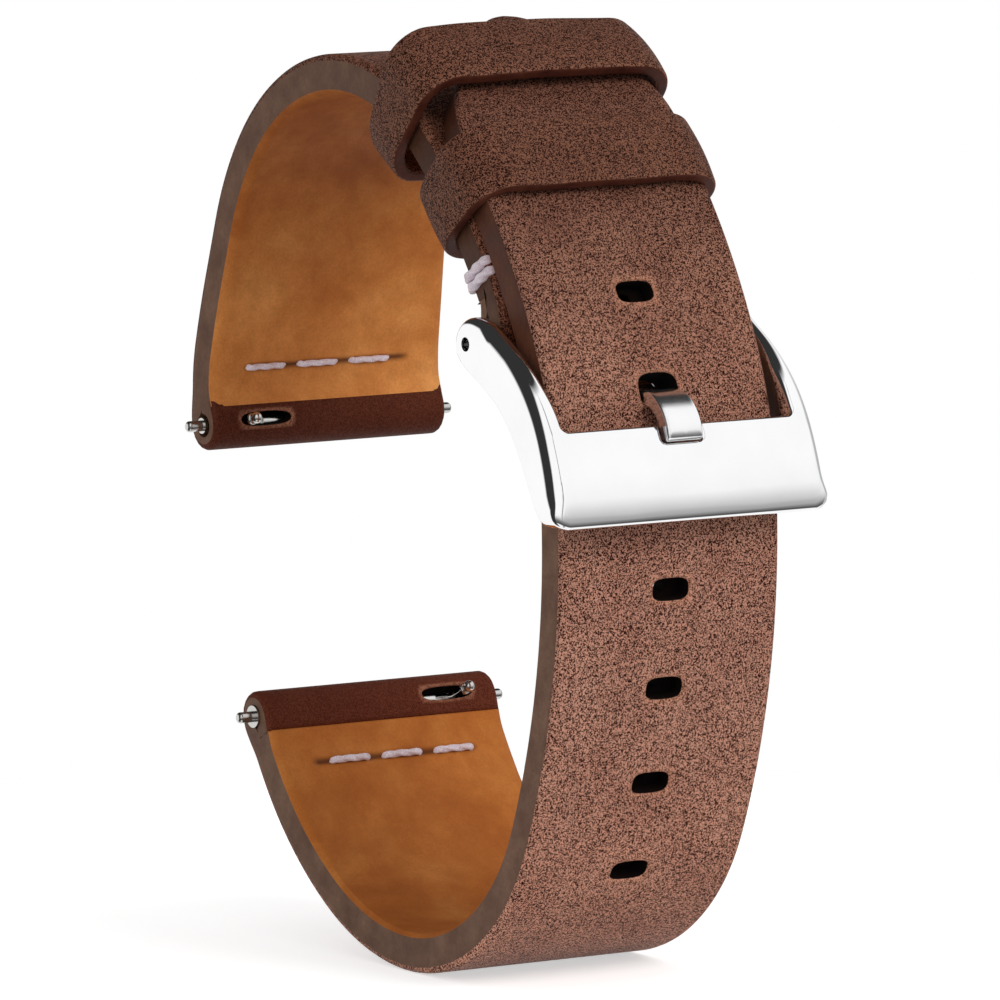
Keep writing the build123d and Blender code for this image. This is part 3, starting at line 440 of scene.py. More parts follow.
# a strap layer as a closed shell. Rows run along the strap and columns across it. Top and bottom faces share
# the columns, walls join them at the outline and at the cut ends, and each hole is a patch of rings with a
# wall.
def strapLayer(name, line, halfWidth, holes, look, materials):
    s0, s1 = line["s"][0], line["s"][-1]
    rows = layerRows(line, holes, look)
    spans = [hole["x"] + np.linspace(-hole["blockX"], hole["blockX"], layerGrid["holeSteps"] + 1)
             for hole in holes]
    fixed = np.unique(np.round(np.concatenate(spans or [[0.0]]), 6))
    x, firstFixed = layerColumns(halfWidth(rows), fixed, look)
    s = np.repeat(rows, x.shape[1])
    full = np.linalg.norm(lineAt(line, rows, "inner") - lineAt(line, rows, "outer"), axis=1)
    outlineS = np.unique(np.concatenate([np.linspace(s0, s1, layerGrid["outlineCount"]), rows[:12]]))
    outline = np.concatenate([np.stack([outlineS, halfWidth(outlineS)], 1), [[s1, 0.0]]])
    if not look["nose"]:
        outline = np.concatenate([[[s0, 0.0]], outline])

    def faceDepth(s, x, radius):
        inside = np.abs(np.abs(x) - halfWidth(s)) > 2 * radius
        inside &= s > s0 + 2 * look["round"] + layerGrid["noseReach"] * look["nose"]
        inside &= s < s1 - 2 * look["endRound"] - layerGrid["endReach"]
        gap = np.full(len(s), np.inf)
        gap[~inside] = lineGap(outline, np.stack([s, np.abs(x)], 1)[~inside])
        return roundedDepth(gap, radius)

    def topPoint(s, x, lift=0.0):
        return placed(line, s, x, faceDepth(s, x, look["round"]) + lift)

    def bottomPoint(s, x, lift=0.0):
        deep = np.interp(s, rows, full) - faceDepth(s, x, look["bottomRound"]) - look["bottomRelief"](s, x)
        return placed(line, s, x, deep - lift * look["bottomLip"])

    # the wall between two matching lines of face points
    def wall(topLine, bottomLine, alongLine, slot=edgeSlot, closed=False):
        shares = layerGrid["wallShares"]
        deep = shares[:, None, None]
        points = (topLine * (1 - deep) + bottomLine * deep).reshape(-1, 3)
        faces = gridFaces(len(shares), len(topLine), closed)
        return points, faces, slot, np.repeat(shares + 1.0, len(topLine)), np.tile(alongLine, len(shares))

    # a hole: rings shrink from the block's border to a superellipse, then a wall goes through
    def holePatch(hole, border):
        around = np.arctan2(*((border - (hole["s"], hole["x"])) / (hole["blockS"], hole["blockX"])).T)
        ways = np.stack([np.sin(around), np.cos(around)], 1)
        middle = np.array([hole["s"] + hole.get("shift", 0.0), hole["x"] + hole.get("shiftX", 0.0)])
        half = np.array([hole["halfS"], hole["halfX"]])
        rim = middle + half * np.sign(ways) * np.abs(ways) ** (2 / hole["square"])
        count = len(border)
        spots = border + (rim - border) * layerGrid["ringShares"][:, None, None]
        ringS, ringX = spots.reshape(-1, 2).T
        lift = np.repeat(layerGrid["ringLips"] * hole["lip"], count)
        wear = np.repeat(layerGrid["ringWear"], count)
        rings = topPoint(ringS, ringX, lift), bottomPoint(ringS, ringX, lift)
        faces = gridFaces(len(spots), count, True)
        patches = [(ring, faces, holeSlot if slot == edgeSlot else slot, -wear, ringS)
                   for ring, slot in zip(rings, (look["topSlot"], look["bottomSlot"]))]
        return patches + [wall(rings[0][-count:], rings[1][-count:], ringS[-count:], holeSlot, True)]

    faces = gridFaces(*x.shape)
    patches = []
    for hole in holes:
        r0, r1 = blockSpan(rows, hole["s"], hole["blockS"])
        c0, c1 = blockSpan(fixed, hole["x"], hole["blockX"])
        faces = faces[~facesWithin(faces, x.shape[1], (r0, firstFixed + c0), (r1, firstFixed + c1))]
        block = np.stack(np.meshgrid(rows[r0:r1 + 1], fixed[c0:c1 + 1], indexing="ij"), -1)
        patches += holePatch(hole, borderOf(block))
    top, bottom = topPoint(s, x.ravel()), bottomPoint(s, x.ravel())
    topGrid, bottomGrid = top.reshape(x.shape + (3,)), bottom.reshape(x.shape + (3,))
    walls = [wall(topGrid[:, column], bottomGrid[:, column], rows) for column in (0, -1)]
    for row in (-1,) if look["nose"] else (-1, 0):
        walls.append(wall(topGrid[row], bottomGrid[row], np.full(x.shape[1], line["s"][row])))
    blocks = [(top, faces, look["topSlot"], 0.0, s),
              (bottom, faces, look["bottomSlot"], -look["mark"](s, x.ravel()), s)]
    return makeMesh(name, blocks + walls + patches, materials)


def flat(s, x):
    return np.zeros(np.shape(s))


# materials come from a few node helpers. This one gives a node's inputs their values or links them
def feed(tree, node, values):
    for label, value in values.items():
        if isinstance(value, bpy.types.NodeSocket):
            tree.links.new(value, node.inputs[label])
        else:
            node.inputs[label].default_value = value
    return node


# a grey or a colour with full cover
def rgba(colour):
    return (*np.broadcast_to(colour, 3).tolist(), 1)


def newMaterial(name):
    material = bpy.data.materials.new(name)
    material.use_nodes = True
    tree = material.node_tree
    return material, tree, next(node for node in tree.nodes if node.type == "BSDF_PRINCIPLED")


def noiseNode(tree, vector, featureSize, detail=3.0, roughness=0.6, distortion=0.0):
    values = {"Vector": vector, "Scale": 1 / (featureSize * mm), "Detail": detail, "Roughness": roughness,
              "Distortion": distortion}
    return feed(tree, tree.nodes.new("ShaderNodeTexNoise"), values).outputs["Fac"]


# stops are pairs of a place and a grey or a colour
def rampNode(tree, value, stops):
    node = feed(tree, tree.nodes.new("ShaderNodeValToRGB"), {"Fac": value})
    elements = node.color_ramp.elements
    for element, (position, colour) in zip((elements[0], elements[1]), (stops[0], stops[-1])):
        element.position, element.color = position, rgba(colour)
    for position, colour in stops[1:-1]:
        elements.new(position).color = rgba(colour)
    return node.outputs["Color"]


def mixColour(tree, share, first, second, blend="MIX"):
    node = tree.nodes.new("ShaderNodeMix")
    node.data_type, node.blend_type = "RGBA", blend
    colours = [value if isinstance(value, bpy.types.NodeSocket) else rgba(value) for value in (first, second)]
    return feed(tree, node, {0: share, 6: colours[0], 7: colours[1]}).outputs[2]


def mathNode(tree, kind, first, second, clamp=False):
    node = tree.nodes.new("ShaderNodeMath")
    node.operation, node.use_clamp = kind, clamp
    return feed(tree, node, {0: first, 1: second}).outputs[0]


def rangeNode(tree, value, low, high, outLow=0.0, outHigh=1.0):
    values = {"Value": value, "From Min": low, "From Max": high, "To Min": outLow, "To Max": outHigh}
    return feed(tree, tree.nodes.new("ShaderNodeMapRange"), values).outputs["Result"]


def bumpNode(tree, height, strength, distance, after=None):
    values = {"Height": height, "Strength": strength, "Distance": distance * mm}
    if after:
        values["Normal"] = after
    return feed(tree, tree.nodes.new("ShaderNodeBump"), values).outputs["Normal"]


def attributeValue(tree, label):
    node = tree.nodes.new("ShaderNodeAttribute")
    node.attribute_name = label
    return node.outputs["Fac"]


def objectCoordinates(tree):
    return tree.nodes.new("ShaderNodeTexCoord").outputs["Object"]


# a ramp over the place along the strap, as a share of the look's length
def rampAlong(tree, look, stops):
    return rampNode(tree, mathNode(tree, "DIVIDE", attributeValue(tree, "along"), look["alongLength"]), stops)


# a colour multiplied by the look's ramp along the strap: the leather's tone together with painted shade and
# light
def toneAndPaintedShadeAlong(tree, look, colour):
    return mixColour(tree, 1.0, colour, rampAlong(tree, look, look["alongToneAndPaintedShade"]), "MULTIPLY")


# sRGB as seen on screen to the linear colour a shader takes
def seen(red, green, blue):
    value = np.array([red, green, blue]) / 255
    linear = np.where(value <= 0.04045, value / 12.92, ((value + 0.055) / 1.055) ** 2.4)
    return tuple(float(part) for part in linear)


# waxed leather: dark pores over a paler, pinkish ground, mottled, smoother near the lugs, paler where it is
# worn, and at the keepers' rims, where the paling is partly a painted highlight. Its colour is multiplied
# along the strap by tone and by painted shade and light
def leatherMaterial(name, look):
    material, tree, shader = newMaterial(name)
    place = objectCoordinates(tree)
    fine = noiseNode(tree, place, look["pore"], 2.0, 0.6, 0.5)
    coarse = noiseNode(tree, place, look["pore"] * look["coarsePore"], 2.0, 0.5)
    mottle = noiseNode(tree, place, look["mottle"], 3.0, 0.55)
    speckle = mathNode(tree, "ADD", mathNode(tree, "MULTIPLY", fine, 0.8),
                       mathNode(tree, "MULTIPLY", coarse, 0.2))
    tint = rangeNode(tree, mottle, 0.3, 0.7)
    dark, ground, smooth = [mixColour(tree, tint, look[tone], look[tone + "Pale"])
                            for tone in ("pores", "ground", "smooth")]
    colour = mixColour(tree, rangeNode(tree, speckle, look["poreLow"], look["poreHigh"]), dark, ground)
    colour = mixColour(tree, rampAlong(tree, look, look["grainShare"]), smooth, colour)
    colour = toneAndPaintedShadeAlong(tree, look, colour)
    rimWear = rangeNode(tree, attributeValue(tree, "edge"), -1.0, -0.2, 1.0, 0.0)
    patchy = mathNode(tree, "MULTIPLY", rimWear, rangeNode(tree, speckle, 0.42, 0.56, 0.15, 0.6))
    feed(tree, shader, {
        "Base Color": mixColour(tree, patchy, colour, look["worn"]),
        "Roughness": rangeNode(tree, speckle, 0.3, 0.7, look["roughness"] + 0.12, look["roughness"] - 0.08),
        "Specular IOR Level": look["shine"],
        "Normal": bumpNode(tree, mottle, 0.25, 0.25, bumpNode(tree, speckle, 0.6, look["relief"])),
    })
    return material


# painted cut edge: grey-brown, cloudy and finely grained, and darkened along the strap where painted shadow
# falls between the keepers
def edgeMaterial(name, look):
    material, tree, shader = newMaterial(name)
    place = objectCoordinates(tree)
    soft = noiseNode(tree, place, 2.2, 4.0)
    grain = noiseNode(tree, place, 0.28)
    colour = mixColour(tree, rangeNode(tree, soft, 0.3, 0.72), look["dark"], look["pale"])
    colour = mixColour(tree, rangeNode(tree, grain, 0.35, 0.6, 0.3, 0.0), colour, look["dark"])
    feed(tree, shader, {
        "Base Color": toneAndPaintedShadeAlong(tree, look, colour),
        "Roughness": rangeNode(tree, soft, 0.3, 0.7, look["roughness"], look["roughness"] + 0.15),
        "Specular IOR Level": look["shine"],
        "Normal": bumpNode(tree, grain, 0.35, 0.05, bumpNode(tree, soft, 0.3, 0.12)),
    })
    return material


# vegetable-tanned lining: smooth orange tan with soft clouds, fine fibre and a satin face, dark where it is
# pressed, and darkened along the strap by painted shade
def liningMaterial(name, look):
    material, tree, shader = newMaterial(name)
    place = objectCoordinates(tree)
    cloud = noiseNode(tree, place, 7.0, 4.0, 0.55, 0.3)
    blotch = noiseNode(tree, place, 1.6, 4.0)
    fibre = noiseNode(tree, place, 0.18)
    colour = rampNode(tree, cloud, look["stops"])
    colour = mixColour(tree, rangeNode(tree, blotch, 0.35, 0.7, 0.0, 0.35), colour, look["blotch"])
    colour = mixColour(tree, rangeNode(tree, fibre, 0.4, 0.62, 0.16, 0.0), colour, look["fibre"])
    pressed = rangeNode(tree, attributeValue(tree, "edge"), -1.0, 0.0, look["pressShare"], 0.0)
    feed(tree, shader, {
        "Base Color": mixColour(tree, pressed, toneAndPaintedShadeAlong(tree, look, colour), look["press"]),
        "Roughness": rangeNode(tree, blotch, 0.3, 0.7, look["roughness"], look["roughness"] + 0.12),
        "Specular IOR Level": look["shine"],
        "Normal": bumpNode(tree, fibre, 0.25, 0.03, bumpNode(tree, blotch, 0.3, 0.12)),
    })
    return material


# steel: near-mirror polish with faint hairlines and smudges in its gloss
def steelMaterial(name, look):
    material, tree, shader = newMaterial(name)
    place = objectCoordinates(tree)
    smudge = noiseNode(tree, place, 3.0, 3.0, 0.5)
    hairline = noiseNode(tree, place, 0.12, 2.0, 0.5)
    feed(tree, shader, {
        "Base Color": mixColour(tree, rangeNode(tree, smudge, 0.3, 0.7), look["tone"], look["toneDark"]),
        "Metallic": 1.0,
        "Roughness": rangeNode(tree, smudge, 0.3, 0.7, look["roughness"], look["roughness"] + 0.04),
        "Normal": bumpNode(tree, hairline, look["scratch"], 0.002),
    })
    return material


# waxed thread: pale, slightly lilac fibres with stains
def threadMaterial(name, look):
    material, tree, shader = newMaterial(name)
    place = objectCoordinates(tree)
    fibre = noiseNode(tree, place, 0.09)
    stain = noiseNode(tree, place, 0.9, 3.0, 0.5)
    colour = mixColour(tree, rangeNode(tree, fibre, 0.35, 0.65), look["shade"], look["tone"])
    feed(tree, shader, {
        "Base Color": mixColour(tree, rangeNode(tree, stain, 0.4, 0.75, 0.0, 0.5), colour, look["stain"]),
        "Roughness": look["roughness"], "Sheen Weight": look["sheen"],
        "Normal": bumpNode(tree, fibre, 0.4, 0.03),
    })
    return material


# the "along" lists multiply a strap's colour by the share of its length, from its first end: they hold the
# leather's tones together with painted shade and painted light
leatherLook = {
    "pore": 0.1, "coarsePore": 2.6, "poreLow": 0.465, "poreHigh": 0.535, "mottle": 5.0,
    "ground": seen(214, 160, 140), "groundPale": seen(234, 182, 160),
    "pores": seen(44, 8, 2), "poresPale": seen(62, 20, 9),
    "smooth": seen(176, 112, 88), "smoothPale": seen(190, 128, 102), "worn": seen(200, 140, 112),
    "roughness": 0.58, "shine": 0.09, "relief": 0.05, "alongLength": 114.0,
    # painted shadow under and just below the keepers, painted light at the bottom of the loop where the lamps
    # reach little, and a dark brown lug fold
    "alongToneAndPaintedShade": (
        (0.0, (0.27, 0.21, 0.18)), (0.14, (0.3, 0.23, 0.2)), (0.19, (0.4, 0.33, 0.29)),
        (0.28, (0.62, 0.54, 0.49)), (0.4, (0.72, 0.64, 0.6)), (0.48, (0.78, 0.71, 0.67)),
        (0.58, (0.88, 0.78, 0.72)), (0.67, (1.0, 0.9, 0.83)), (0.78, (0.9, 0.8, 0.72)),
        (0.95, (0.5, 0.4, 0.34)), (0.985, (0.26, 0.14, 0.1))),
    "grainShare": ((0.0, 1.0), (0.93, 1.0), (0.97, 0.3)),
}
shortLeatherLook = dict(
    leatherLook, alongLength=70.0, grainShare=((0.0, 0.3), (0.05, 0.4), (0.15, 1.0)),
    # the short strap darkened all along, most at its lug end
    alongToneAndPaintedShade=((0.0, (0.2, 0.11, 0.08)), (0.05, (0.22, 0.13, 0.1)), (0.2, (0.3, 0.22, 0.18)),
                (0.9, (0.34, 0.25, 0.2)), (1.0, (0.28, 0.17, 0.13))))
keeperTone = (0.29, 0.22, 0.18)
keeperLook = dict(leatherLook, alongLength=1.0, grainShare=((0.0, 1.0), (1.0, 1.0)),
                  alongToneAndPaintedShade=((0.0, keeperTone), (1.0, keeperTone)))
edgeLook = {
    "dark": seen(94, 64, 48), "pale": seen(130, 102, 84), "roughness": 0.5, "shine": 0.16,
    "alongLength": 114.0,
    # painted shadow: the long strap's edge goes nearly black between the keepers; reddish brown near the tip,
    # paler towards the lug
    "alongToneAndPaintedShade": (
        (0.0, (0.5, 0.28, 0.21)), (0.06, (0.44, 0.25, 0.18)), (0.1, (0.32, 0.17, 0.12)),
        (0.16, (0.5, 0.3, 0.23)), (0.27, (0.62, 0.37, 0.29)), (0.38, (0.95, 0.9, 0.88)), (1.0, 1.0)),
}
# painted shadow: the short strap's edge darkens between the keepers, from 0.72 to 0.84 of its length; paler
# at the buckle end
shortEdgeLook = dict(edgeLook, alongLength=70.0, alongToneAndPaintedShade=(
    (0.0, (0.95, 0.9, 0.88)), (0.66, (0.8, 0.75, 0.72)), (0.72, (0.44, 0.31, 0.25)),
    (0.78, (0.44, 0.31, 0.25)), (0.84, (0.5, 0.37, 0.31)), (0.92, (0.55, 0.42, 0.36)),
    (0.97, (1.2, 1.2, 1.15)), (1.0, (1.3, 1.3, 1.25))))
# painted shadow: the walls of holes and slots are drawn nearly black for the shade inside the openings
holeShadowLook = dict(edgeLook, dark=seen(10, 5, 4), pale=seen(26, 15, 11), roughness=0.85,
                alongToneAndPaintedShade=((0.0, 1.0), (1.0, 1.0)))
# the keepers' cut rims: dark reddish brown, made darker in part as painted shade for the rim's underside
rimLook = dict(holeShadowLook, dark=seen(58, 22, 13), pale=seen(98, 52, 37), roughness=0.5)
liningLook = {
    "stops": ((0.3, seen(178, 98, 34)), (0.5, seen(200, 118, 48)), (0.7, seen(218, 140, 66))),
    "blotch": seen(160, 84, 30), "fibre": seen(128, 66, 24), "press": seen(66, 28, 14), "pressShare": 0.85,
    "roughness": 0.45, "shine": 0.18, "alongLength": 114.0,
    # painted shade: the long lining is darker over most of its length and lighter towards the lug
    "alongToneAndPaintedShade": ((0.0, (0.6, 0.56, 0.5)), (0.62, (0.66, 0.62, 0.56)), (0.8, (0.84, 0.84, 0.86)),
                   (1.0, (0.95, 0.95, 1.0))),
}
shortLiningLook = dict(
    liningLook, alongLength=70.0,
    stops=((0.3, seen(205, 126, 66)), (0.5, seen(226, 148, 84)), (0.7, seen(240, 168, 104))),
    # painted shade: the short lining is bright near the lug and darker, deeper orange towards the crest
    # inside the loop
    alongToneAndPaintedShade=((0.0, (1.0, 1.0, 0.85)), (0.12, (0.95, 0.9, 0.7)), (0.3, (0.56, 0.43, 0.24)),
                (1.0, (0.457, 0.33, 0.153))))
steelLook = {"tone": (0.97, 0.97, 0.975), "toneDark": (0.94, 0.94, 0.95), "roughness": 0.045, "scratch": 0.02}
tongueLook = dict(steelLook, roughness=0.2)
barLook = {"tone": (0.72, 0.71, 0.69), "toneDark": (0.56, 0.55, 0.53), "roughness": 0.16, "scratch": 0.15}
# painted shade: the buckle bar's plunger tips are drawn nearly black, for pins sunk in the frame's pivot
# holes
plungerShadeLook = {"tone": 0.12, "toneDark": 0.05, "roughness": 0.3, "scratch": 0.2}
threadLook = {"tone": seen(250, 240, 248), "shade": seen(206, 188, 200), "stain": seen(190, 156, 150),
              "roughness": 0.6, "sheen": 0.3}

longLeather = leatherMaterial("waxedLeatherLong", leatherLook)
shortLeather = leatherMaterial("waxedLeatherShort", shortLeatherLook)
keeperLeather = leatherMaterial("waxedLeatherKeeper", keeperLook)
longEdge = edgeMaterial("edgePaintLong", edgeLook)
shortEdge = edgeMaterial("edgePaintShort", shortEdgeLook)
holeShadow = edgeMaterial("punchedEdgeShadow", holeShadowLook)
keeperRim = edgeMaterial("keeperRim", rimLook)
longTan = liningMaterial("liningTanLong", liningLook)
shortTan = liningMaterial("liningTanShort", shortLiningLook)
polishedSteel = steelMaterial("polishedSteel", steelLook)
barSteel = steelMaterial("barSteel", barLook)
tongueSteel = steelMaterial("tongueSteel", tongueLook)
plungerShadeSteel = steelMaterial("plungerShadeSteel", plungerShadeLook)
thread = threadMaterial("waxedThread", threadLook)
print("materials made")

# the two straps: their holes, the slot for each lever, the slot for the tongue's ring, and the stitches
holeRow = {
    "first": 26.3, "pitch": 7.0, "count": 7, "width": 3.0, "length": 1.6, "square": 3.2, "lip": 0.05,
    "blockS": 1.7, "blockX": 2.4, "liningShare": 0.52, "liningShift": -0.4,
    "tongueHole": 1, "tongueLength": 2.5, "tongueWiden": 0.12, "tongueShift": 0.2, "liningTongueExtra": 0.2,
}
slotLook = {"inner": 3.4, "outer": 7.6, "width": 1.05, "square": 2.6, "lip": 0.05, "margin": 0.7}
ringSlot = {"width": 3.3, "length": 3.4, "square": 6.0, "lip": 0.03, "margin": 0.6, "blockX": 2.3}
stitch = {
    "length": 3.0, "pitch": 4.4, "count": 3, "row": 4.7, "upperShift": -0.75, "lowerShift": 0.6,
    "radius": 0.26, "corner": 0.42, "proud": 0.08, "strands": 3, "twistPitch": 1.3, "lobe": 0.14,
    "grooveLength": 14.0, "grooveWidth": 0.55, "grooveDepth": 0.16, "grooveFade": 0.5,
    "edgeInset": 1.5, "edgeDistances": (4.5, 5.35), "edgeSink": 0.3, "edgeRadius": 0.36,
    "pathCount": 120, "sides": 18,
}


# the row's holes in one layer. The lining's are smaller and sit a little aside, except the one the tongue
# stretches
def buckleHoles(inLining):
    holes = []
    for index in range(holeRow["count"]):
        hole = {"s": holeRow["first"] + index * holeRow["pitch"], "x": 0.0}
        hole.update({key: holeRow[key] for key in ("blockS", "blockX", "square", "lip")})
        if index == holeRow["tongueHole"]:
            length = holeRow["tongueLength"] + holeRow["liningTongueExtra"] * inLining
            hole.update(halfS=length / 2, halfX=holeRow["width"] / 2 + holeRow["tongueWiden"])
            hole["shift"] = holeRow["tongueShift"]
        else:
            share = holeRow["liningShare"] if inLining else 1.0
            hole.update(halfS=holeRow["length"] / 2 * share, halfX=holeRow["width"] / 2 * share)
            hole["shiftX"] = holeRow["liningShift"] * inLining
        holes.append(hole)
    return holes


# where a layer's outer line passes nearest to a point
def placeNear(line, point):
    gaps = np.linalg.norm(line["outer"] - point, axis=1)
    return float(line["s"][np.argmin(gaps)])


# the slot in a lug fold that the spring bar's knob slides in
def leverSlot(line, bar, inwardAngle, side):
    half = (slotLook["outer"] - slotLook["inner"]) / 2
    return {"s": placeNear(line, bar + strap["lugWrap"] * unit(inwardAngle)),
            "x": side * (slotLook["inner"] + slotLook["outer"]) / 2,
            "halfS": slotLook["width"] / 2, "halfX": half, "blockS": slotLook["width"],
            "blockX": half + slotLook["margin"], "square": slotLook["square"], "lip": slotLook["lip"]}


# the slot round the buckle bar that the tongue's ring sits in, from the fold's front to its back
def tongueRingSlot(line):
    ends = [placeNear(line, chainPoint(shortBends, [shortReach - ringSlot["length"]], depth)[0])
            for depth in (0.0, thickness)]
    half = (ends[1] - ends[0]) / 2
    return {"s": (ends[0] + ends[1]) / 2, "x": 0.0, "halfS": half, "halfX": ringSlot["width"] / 2,
            "blockS": half + ringSlot["margin"], "blockX": ringSlot["blockX"], "square": ringSlot["square"],
            "lip": ringSlot["lip"]}


# the pressed line a stitch row lies in: a bell across the line that fades at both ends
def pressedLine(rowPlace):
    def share(s, x):
        ends = np.clip((stitch["grooveLength"] / 2 - np.abs(x)) / stitch["grooveFade"], 0, 1)
        return np.exp(-(((s - rowPlace) / (stitch["grooveWidth"] / 2)) ** 2)) * ends
    return {"mark": share, "bottomRelief": lambda s, x: share(s, x) * stitch["grooveDepth"],
            "extraRows": rowPlace + np.linspace(-0.6, 0.6, 13)}


# says which body a piece rides on, and hides the node it stands for
def settle(piece, body, node):
    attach(piece, body)
    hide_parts(node)


# a fold is its bar, the radius round it, its bore's radius and its length
lugFoldLong = (lowerBar, strap["lugWrap"], strap["lugBore"], strap["lugFold"])
lugFoldShort = (upperBar, strap["lugWrap"], strap["lugBore"], strap["lugFold"])
buckleFold = (buckleBar, strap["buckleWrap"], strap["buckleBore"], strap["buckleFold"])
longLine = tipCurled(leatherLine(longBends, lugFoldLong))
longLiningLine = tipCurled(liningLine(longBends, 0.0, lugFoldLong))
shortLine = leatherLine(shortBends, buckleFold, lugFoldShort)
shortLiningLine = liningLine(shortBends, strap["lugFold"] - strap["lugWrap"], buckleFold, lugFoldShort)

leatherFace = {
    "step": strap["step"], "round": strap["leatherRound"], "bottomRound": strap["cutRound"], "endRound": 0.3,
    "sideColumns": 7, "nose": True, "topSlot": faceSlot, "bottomSlot": edgeSlot, "bottomLip": 0.0,
    "bottomRelief": flat, "mark": flat,
}
liningFace = dict(leatherFace, round=strap["cutRound"], bottomRound=strap["liningRound"], bottomLip=1.0,
                  topSlot=edgeSlot, bottomSlot=faceSlot, sideColumns=22)

longHoles = buckleHoles(False) + [leverSlot(longLine, lowerBar, strap["longAngles"][-1] + 180, 1)]
shortHoles = [leverSlot(shortLine, upperBar, strap["shortAngles"][0] + 180, -1), tongueRingSlot(shortLine)]
shortFace = dict(leatherFace, nose=False)
longTanFace = dict(liningFace, **pressedLine(longReach - stitch["row"]))
shortTanFace = dict(liningFace, nose=False, **pressedLine(stitch["row"]))
longOuter = strapLayer("longStrapLeather", longLine, longHalfWidth, longHoles, leatherFace,
                       [longLeather, longEdge, holeShadow])
longLining = strapLayer("longStrapLining", longLiningLine, longHalfWidth, buckleHoles(True), longTanFace,
                        [longTan, longEdge, holeShadow])
shortOuter = strapLayer("shortStrapLeather", shortLine, shortHalfWidth, shortHoles, shortFace,
                        [shortLeather, shortEdge, holeShadow])
shortLining = strapLayer("shortStrapLining", shortLiningLine, shortHalfWidth, [], shortTanFace,
                         [shortTan, shortEdge, holeShadow])
settle(longOuter, "strap", "long_strap_outer")
settle(longLining, "strap", "long_strap_lining")
settle(shortOuter, "strap", "short_strap_outer")
settle(shortLining, "strap", "short_strap_lining")
print("straps made")


# a rounded rectangle as evenly spaced points with their outward normals
def roundedLoop(halfWidth, halfHeight, radius, count):
    points, normals = [], []
    for sideX, sideY, first in ((1, 1, 0), (-1, 1, 90), (-1, -1, 180), (1, -1, 270)):
        ways = unit(np.linspace(first, first + 90, 40))
        points.append(np.array([sideX * (halfWidth - radius), sideY * (halfHeight - radius)]) + radius * ways)
        normals.append(ways)
    points = np.concatenate(points + [points[0][:1]])
    normals = np.concatenate(normals + [normals[0][:1]])
    run = runOf(points)
    spots, ways = [rowsAt(np.linspace(0, run[-1], count + 1)[:-1], run, table) for table in (points, normals)]
    return spots, ways / np.linalg.norm(ways, axis=1, keepdims=True)


# a loop of twisted thread through a strap: rings whose radius swells with the strands' turned angle, carried
# round a rounded rectangle in the strap's cross-section
def threadLoop(bends, s, left, right, top, radius):
    bottom = thickness + stitch["proud"]
    path, ways = roundedLoop((right - left) / 2, (bottom - top) / 2, stitch["corner"], stitch["pathCount"])
    path = path + np.array([(left + right) / 2, (top + bottom) / 2])
    turn = np.linspace(0, 2 * np.pi, stitch["sides"] + 1)[:-1]
    twists = round(runOf(path)[-1] / stitch["twistPitch"])
    phase = 2 * np.pi * twists * np.arange(len(path)) / len(path)
    swell = radius * (1 + stitch["lobe"] * np.cos(stitch["strands"] * turn[None] - phase[:, None]))
    x = path[:, :1] + ways[:, :1] * swell * np.cos(turn)
    depth = path[:, 1:] + ways[:, 1:] * swell * np.cos(turn)
    along = (s + swell * np.sin(turn)).ravel()
    face = chainPoint(bends, along, 0.0)
    inwards = chainPoint(bends, along, 1.0) - face
    points = np.concatenate([x.reshape(-1, 1), face + inwards * depth.reshape(-1, 1)], 1) * mm
    return points, gridFaces(len(path), len(turn), True, True), 0, 0.0, 0.0


def stitchRow(name, node, bends, s, shift):
    loops = []
    for index in range(stitch["count"]):
        middle = (index - (stitch["count"] - 1) / 2) * stitch["pitch"] + shift
        left, right = middle - stitch["length"] / 2, middle + stitch["length"] / 2
        loops.append(threadLoop(bends, s, left, right, -stitch["proud"], stitch["radius"]))
    settle(makeMesh(name, loops, [thread], smoothAll), "strap", node)


lowerRow, upperRow = longReach - stitch["row"], stitch["row"]
stitchRow("longStrapStitches", "long_strap_stitches", longBends, lowerRow, stitch["lowerShift"])
stitchRow("shortStrapLugStitches", "short_strap_lug_stitches", shortBends, upperRow, stitch["upperShift"])
edgeLoops = []
inner, outer = strap["buckleWidth"] / 2 - stitch["edgeInset"], strap["buckleWidth"] / 2 + stitch["proud"]
for distance in stitch["edgeDistances"]:
    for left, right in ((inner, outer), (-outer, -inner)):
        edgeLoops.append(threadLoop(shortBends, shortReach - distance, left, right, stitch["edgeSink"],
                                    stitch["edgeRadius"]))
edgeStitches = makeMesh("shortStrapBuckleStitches", edgeLoops, [thread], smoothAll)
settle(edgeStitches, "strap", "short_strap_buckle_stitches")
print("stitches made")

keeper = {
    "thickness": 1.0, "length": 5.5, "rimRound": 0.3, "rimShare": 0.3, "puff": 0.12, "wave": 0.012,
    "wearReach": 0.5, "wearFade": 0.4, "wear": 0.35, "pathCount": 220, "sectionCount": 130,
}
fixedSize = {"end": 18.4, "sideGap": 0.25, "gap": 0.3, "corner": 2.6,
             "shift": 0.05, "dome": 0.12, "sag": 0.75}
freeSize = {"end": 8.9, "sideGap": 0.4, "gap": 0.45, "corner": 2.35,
            "shift": 0.2, "dome": 0.35, "sag": 1.6}


